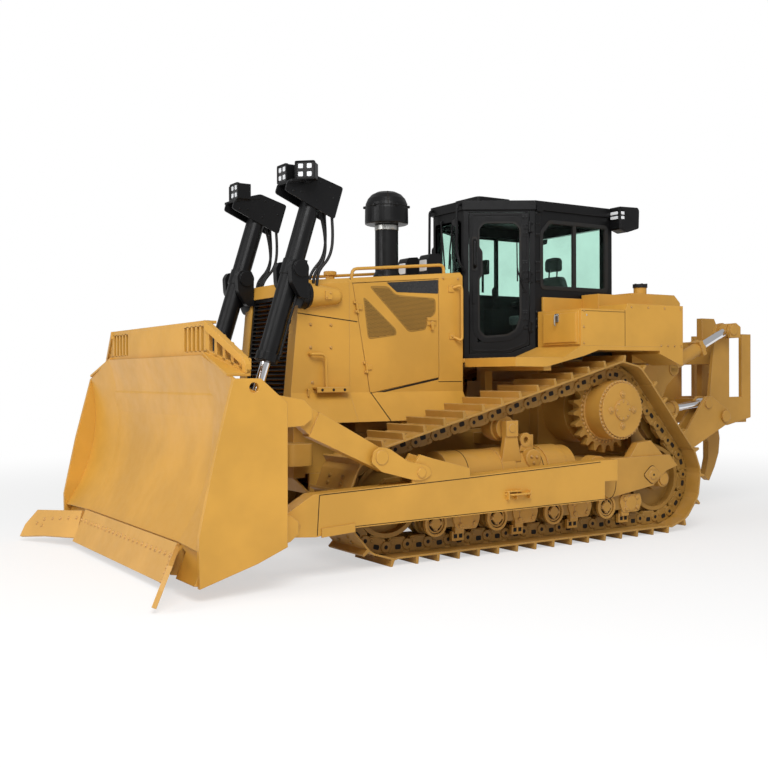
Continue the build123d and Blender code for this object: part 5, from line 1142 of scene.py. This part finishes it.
class BULLDOZER_OT_cab(bpy.types.Operator):
    """Seals, hinges, grab bars, wipers, lamps and controls of the cab"""
    bl_idname = "bulldozer.cab"
    bl_label = "Cab details"

    def execute(self, context):
        for side, hand in HANDS:
            self.door(side, hand[0])
        trim, lens, paint, glassy = Work(), Work(), Work(), Work()
        # rubber round the side windows and the bar between their panes
        rear, front, low, top = CAB_REAR_X + 90, CAB_CORNER[0] - 100, 2740, 3470
        window = ((rear, low), (front, low), (front, top - 120), (front - 120, top), (rear, top))
        outline = rounded(window, 40)
        trim.frame(SIDE, inset(outline, -26), inset(outline, 14), 712, 722)
        trim.frame(SIDE, inset(outline, 14), inset(outline, 20), 690, 716)
        trim.block(-1040, -996, 684, 719, low, top)
        for z0, z1 in ((3295, 3575), *HINGES[1:]):
            paint.plate(SIDE, pane(-436, -504, z0, z1, 10, 2), 713, 724)
        paint.block(-520, -440, 716, 752, 3570, 3640)
        # bars at the windscreen's corners, and wipers
        paint.bar(((232, 262, 3660), (300, 262, 3640), (306, 262, 3140), (292, 300, 2990),
                   (236, 330, 2905)), 15, bend=90)
        paint.bar(((244, 120, 3520), (252, 60, 3160), (250, 40, 2960)), 9, bend=30)
        paint.block(244, 254, 98, 110, 3060, 3500)
        trim.frame(ACROSS, pane(-238, 238, 2866, 3484, 30), pane(-214, 214, 2892, 3458, 24), 226, 238)
        # lamp housings at the rear corners, with two rows of lights toward the front
        housing = rounded(((-1562, 3702), (-1870, 3712), (-1892, 3680), (-1884, 3470), (-1690, 3410),
                           (-1570, 3446)), 20)
        paint.plate(SIDE, housing, 722, 868)
        paint.plate(SIDE, inset(housing, 22), 866, 876)
        for z in (3560, 3612):
            lens.plate(ACROSS, pane(742, 852, z, z + 34, 8, 2), -1566, -1554)
            lens.plate(SIDE, pane(-1640, -1590, z, z + 34, 8, 2), 866, 880)
        # pair of lamps on the hood before the windscreen
        box = rounded(((532, hood_top(530) - 30), (532, 3050), (566, 3092), (690, 3078), (716, 3030),
                       (716, hood_top(716) - 30)), 14)
        paint.plate(SIDE, box, 120, 292)
        lens.plate(ACROSS, pane(140, 272, 2900, 3020, 14), 714, 720)
        # mirror disc inside the glass
        glassy.turned(((0, 46), (8, 44)), (236, 150, 3470), (1, 0.3, 0), 18)
        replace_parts(paint.mirror().piece("cab_hardware", "black paint", slot="black_paint"), "cab_lamps")
        trim.mirror().piece("cab_seals", "rubber", slot="trim")
        lens.mirror().piece("cab_lamp_lenses", "lamp lens", slot="lamp_black")
        glassy.piece("cab_mirror", "panel black", slot="trim")
        # raised box on the roof
        roof = Work()
        roof.plate(LEVEL, pane(-520, 0, -250, 250, 60), 3686, 3762)
        roof.plate(LEVEL, pane(-500, -20, -232, 232, 60), 3760, 3778)
        roof.piece("roof_box", "black paint", slot="black_paint")
        inside = Work()
        inside.plate(ACROSS, pane(120, 300, 2900, 3060, 16), -120, -86)
        inside.bar(((-104, 200, 2900), (-104, 200, 2700)), 14)
        for y in (-400, 400):
            inside.turned(((2690, 20), (2740, 38), (2800, 40), (2830, 24)), (-760, y, 0), UP, 14)
            inside.plate(LEVEL, pane(-1180, -760, y - 70, y + 70, 30), 2562, 2600)
        inside.piece("cab_controls", "moulded plastic", slot="trim")
        return {"FINISHED"}

    def door(self, side, hand):
        """What a cab door carries on its outer face."""
        seal, metal = Work(), Work()
        far = RUN.length - 76
        leaf = rounded(((76, 2120), (306, 2032), (far, 2032), (far, 3546), (76, 3546)), 60, 4)
        metal.frame(DOOR, leaf, inset(leaf, 14), -2, 5)
        window = rounded(((150, 2420), (196, 2262), (300, 2200), (560, 2180), (630, 2262), (630, 2840),
                          (596, 2880), (596, 3130), (630, 3170), (630, 3390), (566, 3462), (216, 3462),
                          (150, 3390)), 34)
        seal.frame(DOOR, window, inset(window, 20), -36, 6)
        metal.frame(DOOR, inset(window, -56), window, -2, 7)
        # handle in its recess
        metal.bar([DOOR.at(664, z, out) for z, out in ((2962, 0), (2975, 52), (3240, 52), (3254, 0))],
                  19, bend=40)
        seal.plate(DOOR, pane(632, 696, 2920, 3296, 22), 0, 9)
        # hinge leaves with their bolts
        for z0, z1 in HINGES:
            metal.plate(DOOR, pane(70, 142, z0, z1, 10, 2), -1, 10)
            for u in (90, 124):
                for k in range(3):
                    head = DOOR.at(u, z0 + 34 + (z1 - z0 - 68) * k / 2)
                    metal.turned(((8, 11), (18, 11)), head, DOOR.w, 6)
        # wiper
        metal.bar((DOOR.at(118, 2700, 22), DOOR.at(190, 2900, 26), DOOR.at(196, 2950, 18)), 8, bend=30)
        metal.plate(DOOR, ((188, 2800), (202, 2800), (206, 3230), (194, 3230)), 8, 22)
        metal.turned(((0, 20), (24, 20)), DOOR.at(118, 2700), DOOR.w, 12)
        for work, name, finish, slot in ((seal, "cab_door_seal_", "rubber", "trim"),
                                         (metal, "cab_door_hardware_", "black paint", "black_paint")):
            work.on_side(side).piece(name + hand, finish, "cab_door_" + hand, slot)


class BULLDOZER_OT_seat(bpy.types.Operator):
    """The operator's seat: sprung post, padded cushion, back and headrest"""
    bl_idname = "bulldozer.seat"
    bl_label = "Seat"

    def execute(self, context):
        post = Work()
        for i in range(6):
            z = 2030 + 48 * i
            post.turned(((z, 150), (z + 12, 176), (z + 30, 176), (z + 44, 150)), (-1100, 0, 0), UP, 20)
        post.plate(LEVEL, pane(-1340, -860, -240, 240, 50), 2316, 2366)
        for y in (-300, 300):
            rest = rounded(((-1330, 2640), (-960, 2600), (-960, 2650), (-1330, 2700)), 18)
            post.plate(SIDE, rest, y - 34, y + 34)
            post.bar(((-1330, y * 0.92, 2660), (-1330, y * 0.8, 2480)), 14)
        for y in (-70, 70):
            post.bar(((-1330, y, 2950), (-1336, y, 3040)), 9)
        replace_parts(post.piece("seat_frame", "moulded plastic", slot="trim"), "seat")
        cushion = ((-1345, -250), (-850, -250), (-830, -250), (-830, 250), (-850, 262), (-1345, 250))
        back = ((-240, 2440), (240, 2440), (250, 2760), (170, 2960), (-170, 2960), (-250, 2760))
        headrest = ((-130, 3010), (130, 3010), (120, 3180), (-120, 3180))
        for name, plane, outline, low, high in (("seat_cushion", LEVEL, cushion, 2376, 2468),
                                                ("seat_back", ACROSS, back, -1382, -1296),
                                                ("seat_headrest", ACROSS, headrest, -1376, -1306)):
            work = Work()
            work.plate(plane, rounded(outline, 60, 4), low, high)
            self.pad(work.mesh(name), name)
        return {"FINISHED"}

    def pad(self, mesh, name):
        """Swells a plain shape into a stuffed cushion, each point at most as far as MOST_SWELL."""
        made = linked(name, mesh)
        remesh = made.modifiers.new("Even", "REMESH")
        remesh.mode = "VOXEL"
        remesh.voxel_size = 0.008
        self.settle(made, name)
        still = [v.co.copy() for v in made.data.vertices]
        cloth = made.modifiers.new("Stuffing", "CLOTH")
        cloth.settings.use_pressure = True
        cloth.settings.uniform_pressure_force = 4.0
        cloth.settings.effector_weights.gravity = 0.0
        cloth.point_cache.frame_end = 20
        for number in range(1, cloth.point_cache.frame_end + 1):
            bpy.context.scene.frame_set(number)
        self.settle(made, name)
        for vert, was in zip(made.data.vertices, still):
            moved = vert.co - was
            if moved.length > MOST_SWELL:
                vert.co = was + moved.normalized() * MOST_SWELL
        bpy.context.scene.frame_set(1)
        made.data.shade_smooth()
        finer = made.modifiers.new("Smooth", "SUBSURF")
        finer.levels = finer.render_levels = 1
        self.settle(made, name)
        made.data.materials.clear()
        made.data.materials.append(bpy.data.materials["seat cloth"])
        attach(made, "chassis")

    def settle(self, made, name):
        """Keeps the object's shape as its modifiers leave it."""
        mesh = baked(made)
        mesh.name = name
        made.modifiers.clear()
        made.data = mesh


class BULLDOZER_OT_blade(bpy.types.Operator):
    """Rock guard, brace forks, arm joints and steps of the blade and its frame"""
    bl_idname = "bulldozer.blade"
    bl_label = "Blade details"

    def execute(self, context):
        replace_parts(self.rock_guard().piece("slotted_rock_guard", "body paint", "blade_frame"), "rock_guard")
        dark, metal = Work(), Work()
        y = ARM_Y
        # joints round the push arm's side plate
        dark.ribbon(((-500, y, 864), (1187, y, 796), (2806, y, 738), (2830, y, 392)), LEFT, 7)
        dark.ribbon(((2790, y, 398), (2496, y, 440), (-560, y, 478)), LEFT, 6)
        metal.plate(SIDE, ((2455, 470), (2790, 450), (2790, 372), (2455, 394)), y - 1, y + 12)
        metal.hoop((3056, 0, 486), 62, 52, y - 2, y + 5)
        metal.disc(3056, 486, 40, y - 2, y + 9)
        # outer fork of the brace, over the ear
        fork = rounded(((1640, 862), (1690, 824), (1760, 808), (1840, 814), (2180, 905), (2290, 990),
                        (2270, 1090), (2200, 1130), (2100, 1110), (1900, 985), (1720, 950),
                        (1660, 920)), 20, 2)
        metal.plate(SIDE, fork, y + 1, y + 20)
        metal.turned(((y + 18, 46), (y + 32, 46), (y + 36, 38)), (1756, 0, 876))
        metal.turned(((y + 18, 66), (y + 28, 66), (y + 32, 58)), (2182, 0, 1035))
        # step on the arm's side
        metal.plate(LEVEL, ((430, y - 2), (770, y - 2), (700, y + 74), (520, y + 74)), 604, 620)
        metal.plate(LEVEL, ((560, y - 2), (770, y - 2), (740, y + 60), (600, y + 60)), 636, 648)
        for x in (470, 640, 740):
            metal.block(x, x + 14, y - 2, y + 46, 560, 640)
        metal.mirror().piece("push_arm_details", "body paint", "blade_frame")
        dark.mirror().piece("push_arm_joints", "shadow gap", "blade_frame")
        return {"FINISHED"}

    def rock_guard(self):
        """Slotted guard over the mouldboard, with folded sides and fins behind."""
        work = Work()
        x, half, low, high = GUARD_PLATE_X, 1250.0, 1944.3, 2238.0
        back, deep = x - 36, x - 100
        work.block(back, x, -762, 762, low, high)
        work.block(deep, x - 1, -half, half, high - 26, high - 1)
        bars = Work()
        bars.block(back, x, 762, half, high - 46, high)
        bars.block(back, x, 762, half, low, low + 36)
        for i in range(5):
            y = 762 + 96 * i
            bars.block(back, x, y + 62, y + 96 if i < 4 else half, low + 30, high - 40)
            bars.block(deep, x - 10, y - 26, y - 8, low + 20, high - 10)
        corner = Vector((3562, 1832, 1897))
        along = Vector((corner.x - x, corner.y - half, 0))
        span = along.length
        fold = Plane((x, half, 0), along, UP, (along.y, -along.x, 0))
        foot = 1787.0

        def top_at(u):
            return high + (corner.z - high) * u / span

        def low_at(u):
            return low + 20 + (foot - low - 20) * u / span

        def panel(u0, u1, drop, rise, depth0=-36.0, depth1=0.0):
            """A stretch of the folded side from a rise over its foot to a drop under its top."""
            bars.plate(fold, ((u0, low_at(u0) + rise), (u1, low_at(u1) + rise), (u1, top_at(u1) - drop),
                              (u0, top_at(u0) - drop)), depth0, depth1)

        inner = span - 44
        bars.plate(fold, ((0, top_at(0) - 74), (inner, top_at(inner) - 74), (inner, top_at(inner)),
                          (0, top_at(0))), -36, 18)
        bars.plate(fold, ((0, low_at(0)), (span, foot), (span, foot + 30), (0, low_at(0) + 30)), -36, 0)
        for u0, u1 in ((0, 52), (130, 170), (248, 288), (366, 406), (484, inner)):
            panel(u0, u1, 40, 10)
        post = span - 46
        bars.plate(fold, ((post, low_at(post)), (span, foot), (span, corner.z - 36), (post, top_at(post))),
                   -36, 18)
        for u in (140, 258, 376, 494):
            panel(u, u + 18, 40, 6, -100, -4)
        ledge = []
        for y, x0, x1, z in ((half, back, 3706, low), (corner.y, corner.x - 30, 3744, foot - 24)):
            ledge.append([(x0, y, z), (x1, y, z), (x1, y, z + 22), (x0, y, z + 22)])
        bars.skin(ledge)
        bars.mirror()
        spare = bars.mesh("sides")
        work.bm.from_mesh(spare)
        bpy.data.meshes.remove(spare)
        return work


class BULLDOZER_OT_ripper(bpy.types.Operator):
    """Chrome rods, glands and pins of the ripper"""
    bl_idname = "bulldozer.ripper"
    bl_label = "Ripper details"

    def execute(self, context):
        run = Vector((-1160, 0, 510)).normalized()
        start = Vector((-2680, 530, 1830))
        rods, glands = Work(), Work()
        rods.turned(((706, 50), (1190, 50)), start, run, 28)
        glands.turned(((628, 132), (690, 132), (698, 124)), start, run, 4)
        u = run.orthogonal().normalized()
        v = run.cross(u)
        for a in (-1, 1):
            for b in (-1, 1):
                glands.turned(((690, 14), (708, 14)), start + u * 62 * a + v * 62 * b, run, 6)
        glands.turned(((60, 92), (90, 92)), start, run, 28)
        rods.mirror().piece("ripper_pitch_rods", "chrome", "ripper_pitch", "chrome")
        glands.mirror().piece("ripper_pitch_glands", "frame paint", "ripper_pitch", "frame_yellow")
        pins = Work()
        for x, z in ((-2530, 720), (-2680, 1830)):
            pins.turned(((668, 78), (684, 78), (690, 66)), (x, 0, z))
        pins.mirror().piece("ripper_bracket_pins", "frame paint", slot="frame_yellow")
        beam = Work()
        beam.turned(((640, 78), (652, 78), (658, 66)), (-3690, 0, 1230))
        beam.turned(((628, 70), (644, 70), (650, 58)), (-3840, 0, 2340))
        beam.mirror().piece("ripper_beam_pins", "frame paint", "ripper_carriage", "frame_yellow")
        return {"FINISHED"}


class BULLDOZER_OT_tanks(bpy.types.Operator):
    """Latches, caps, joints and tread studs of the tanks and platforms"""
    bl_idname = "bulldozer.tanks"
    bl_label = "Tanks and platforms"

    def execute(self, context):
        dark, latch = Work(), Work()
        dark.ribbon(((-1081, TANK_Y, 2074), (-1081, TANK_Y, 2462)), LEFT, 5)
        dark.ribbon(((-446, TANK_Y, 2440), (-1081, TANK_Y, 2440)), LEFT, 4)
        dark.ribbon(((-1990, 1000, 2536), (-1130, 1000, 2536)), UP, 6)
        latch.plate(ACROSS, pane(1070, 1130, 2330, 2420, 14), -406, -394)
        latch.bar([(x, 1100, z) for x, z in ((-396, 2404), (-372, 2400), (-368, 2310), (-380, 2290))],
                  9, bend=20)
        latch.disc(-520, 2395, 9, TANK_Y - 2, TANK_Y + 6, 8)
        dark.mirror().piece("tank_joints", "shadow gap")
        latch.mirror().piece("tank_latches", "bare steel", slot="chrome")
        cap = Work()
        cap.turned(((2786, 84), (2822, 84), (2830, 74)), (-1974, 800, 0), UP, 20)
        for i in range(6):
            a = math.tau * i / 6
            x, y = -1974 + 74 * math.cos(a), 800 + 74 * math.sin(a)
            cap.block(x - 9, x + 9, y - 9, y + 9, 2790, 2834)
        cap.piece("fuel_cap", "moulded plastic", slot="trim")
        stud = Work()
        stud.turned(((-1, 8), (3, 6)), (0, 0, 0), UP, 6)
        places = []
        for i in range(15):
            for k in range(17):
                places.append(((-150 + 38 * i + (19 if k % 2 else 0), 778 + 38 * k, 1945), UP, AHEAD, 1.0))
        set_out("platform_studs", stud, both_sides(places), "body paint")
        return {"FINISHED"}


class BULLDOZER_OT_stage(bpy.types.Operator):
    """Make the floor, the lights, the world and the camera"""
    bl_idname = "bulldozer.stage"
    bl_label = "Studio and camera"

    def execute(self, context):
        settings = context.scene.bulldozer_stage
        self.make_floor(settings)
        self.make_world(settings)
        self.make_lights(settings)
        self.make_camera(context)
        context.scene.view_settings.view_transform = "Standard"
        return {"FINISHED"}

    def make_floor(self, settings):
        mesh = bpy.data.meshes.new("floor")
        reach = 400.0
        mesh.from_pydata([(-reach, -reach, 0), (reach, -reach, 0), (reach, reach, 0), (-reach, reach, 0)], [],
                         [(0, 1, 2, 3)])
        linked("floor", mesh)
        w, shader = new_material("floor white")
        shader.inputs["Base Color"].default_value = tuple(settings.floor) + (1.0,)
        shader.inputs["Roughness"].default_value = 0.9
        shader.inputs["Specular IOR Level"].default_value = 0.0
        # the camera, glossy and clear surfaces see the floor partly as plain white, so its shadow stays soft
        rays = w.node("ShaderNodeLightPath")
        seen = w.maths("MAXIMUM", rays.outputs["Is Camera Ray"], rays.outputs["Is Glossy Ray"])
        seen = w.maths("MAXIMUM", seen, rays.outputs["Is Transmission Ray"])
        glow = w.node("ShaderNodeEmission")
        glow.inputs["Strength"].default_value = 1.0
        blend = w.node("ShaderNodeMixShader")
        far = w.node("ShaderNodeVectorMath", operation="LENGTH")
        w.join(w.node("ShaderNodeTexCoord").outputs["Object"], far.inputs[0])
        white = w.ramp(far.outputs["Value"], 3.0, 15.0, 0.55, 1.0)
        w.join(w.maths("MULTIPLY", seen, white), blend.inputs["Fac"])
        w.join(shader.outputs[0], blend.inputs[1])
        w.join(glow.outputs[0], blend.inputs[2])
        w.join(blend.outputs[0], w.tree.nodes["Material Output"].inputs["Surface"])
        mesh.materials.append(bpy.data.materials["floor white"])

    def make_world(self, settings):
        world = bpy.data.worlds.new("studio")
        bpy.context.scene.world = world
        world.use_nodes = True
        w = Wiring(world.node_tree)
        rays = w.node("ShaderNodeLightPath")
        seen = w.maths("MAXIMUM", rays.outputs["Is Camera Ray"], rays.outputs["Is Transmission Ray"])
        lit = world.node_tree.nodes["Background"]
        lit.inputs["Color"].default_value = (1, 1, 1, 1)
        lit.inputs["Strength"].default_value = settings.sky
        shown = w.node("ShaderNodeBackground")
        shown.inputs["Color"].default_value = (1, 1, 1, 1)
        shown.inputs["Strength"].default_value = 1.0
        blend = w.node("ShaderNodeMixShader")
        w.join(seen, blend.inputs["Fac"])
        w.join(lit.outputs[0], blend.inputs[1])
        w.join(shown.outputs[0], blend.inputs[2])
        w.join(blend.outputs[0], world.node_tree.nodes["World Output"].inputs["Surface"])

    def make_lights(self, settings):
        for name, place, target, size, power in (
                ("key", (7.0, 11.0, 12.0), (0, 0, 1.2), 9.0, settings.key),
                ("front fill", (15.0, 1.0, 6.0), (2, 0, 1.5), 8.0, settings.key * 0.35)):
            data = bpy.data.lights.new(name, "AREA")
            data.energy = power
            data.shape = "DISK"
            data.size = size
            lamp = linked(name, data)
            lamp.location = place
            lamp.rotation_mode = "QUATERNION"
            lamp.rotation_quaternion = (Vector(target) - Vector(place)).to_track_quat("-Z", "Y")

    def make_camera(self, context):
        data = bpy.data.cameras.new("camera")
        data.sensor_width = 36.0
        data.lens = data.sensor_width * FOCAL / PHOTO_WIDTH
        data.clip_start, data.clip_end = 0.1, 1500.0
        camera = linked("camera", data)
        yaw, pitch, roll = (math.radians(turn) for turn in (CAMERA_YAW, CAMERA_PITCH, CAMERA_ROLL))
        ahead = Vector((-math.sin(yaw) * math.cos(pitch), -math.cos(yaw) * math.cos(pitch), math.sin(pitch)))
        right = ahead.cross(Vector(UP)).normalized()
        up = right.cross(ahead)
        level_right = right * math.cos(roll) + up * math.sin(roll)
        level_up = up * math.cos(roll) - right * math.sin(roll)
        turn = Matrix((level_right, level_up, -ahead)).transposed()
        camera.matrix_world = Matrix.Translation(CAMERA_PLACE) @ turn.to_4x4()
        context.scene.camera = camera


class BULLDOZER_PT_panel(bpy.types.Panel):
    """Lists the bulldozer's settings and the operators that make its pieces"""
    bl_label = "Bulldozer"
    bl_space_type = "VIEW_3D"
    bl_region_type = "UI"
    bl_category = "Bulldozer"

    def draw(self, context):
        scene = context.scene
        for settings in (scene.bulldozer_paint, scene.bulldozer_fasteners, scene.bulldozer_stage):
            box = self.layout.box()
            for name in settings.bl_rna.properties.keys():
                if name not in ("rna_type", "name"):
                    box.prop(settings, name)
        for operator in OPERATORS:
            self.layout.operator(operator.bl_idname)


SETTINGS = (PaintSettings, FastenerSettings, StageSettings)
OPERATORS = (BULLDOZER_OT_finishes, BULLDOZER_OT_fasteners, BULLDOZER_OT_tracks,
             BULLDOZER_OT_running_gear, BULLDOZER_OT_hood, BULLDOZER_OT_stack, BULLDOZER_OT_lift_gear,
             BULLDOZER_OT_cab, BULLDOZER_OT_seat, BULLDOZER_OT_blade, BULLDOZER_OT_ripper,
             BULLDOZER_OT_tanks, BULLDOZER_OT_stage)


def register():
    for made in SETTINGS + OPERATORS + (BULLDOZER_PT_panel,):
        bpy.utils.register_class(made)
    bpy.types.Scene.bulldozer_paint = bpy.props.PointerProperty(type=PaintSettings)
    bpy.types.Scene.bulldozer_fasteners = bpy.props.PointerProperty(type=FastenerSettings)
    bpy.types.Scene.bulldozer_stage = bpy.props.PointerProperty(type=StageSettings)


def unregister():
    del bpy.types.Scene.bulldozer_stage
    del bpy.types.Scene.bulldozer_fasteners
    del bpy.types.Scene.bulldozer_paint
    for made in reversed(SETTINGS + OPERATORS + (BULLDOZER_PT_panel,)):
        bpy.utils.unregister_class(made)


def main():
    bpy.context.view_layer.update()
    register()
    for operator in OPERATORS:
        group, call = operator.bl_idname.split(".")
        getattr(getattr(bpy.ops, group), call)()


if __name__ == "__main__":
    main()
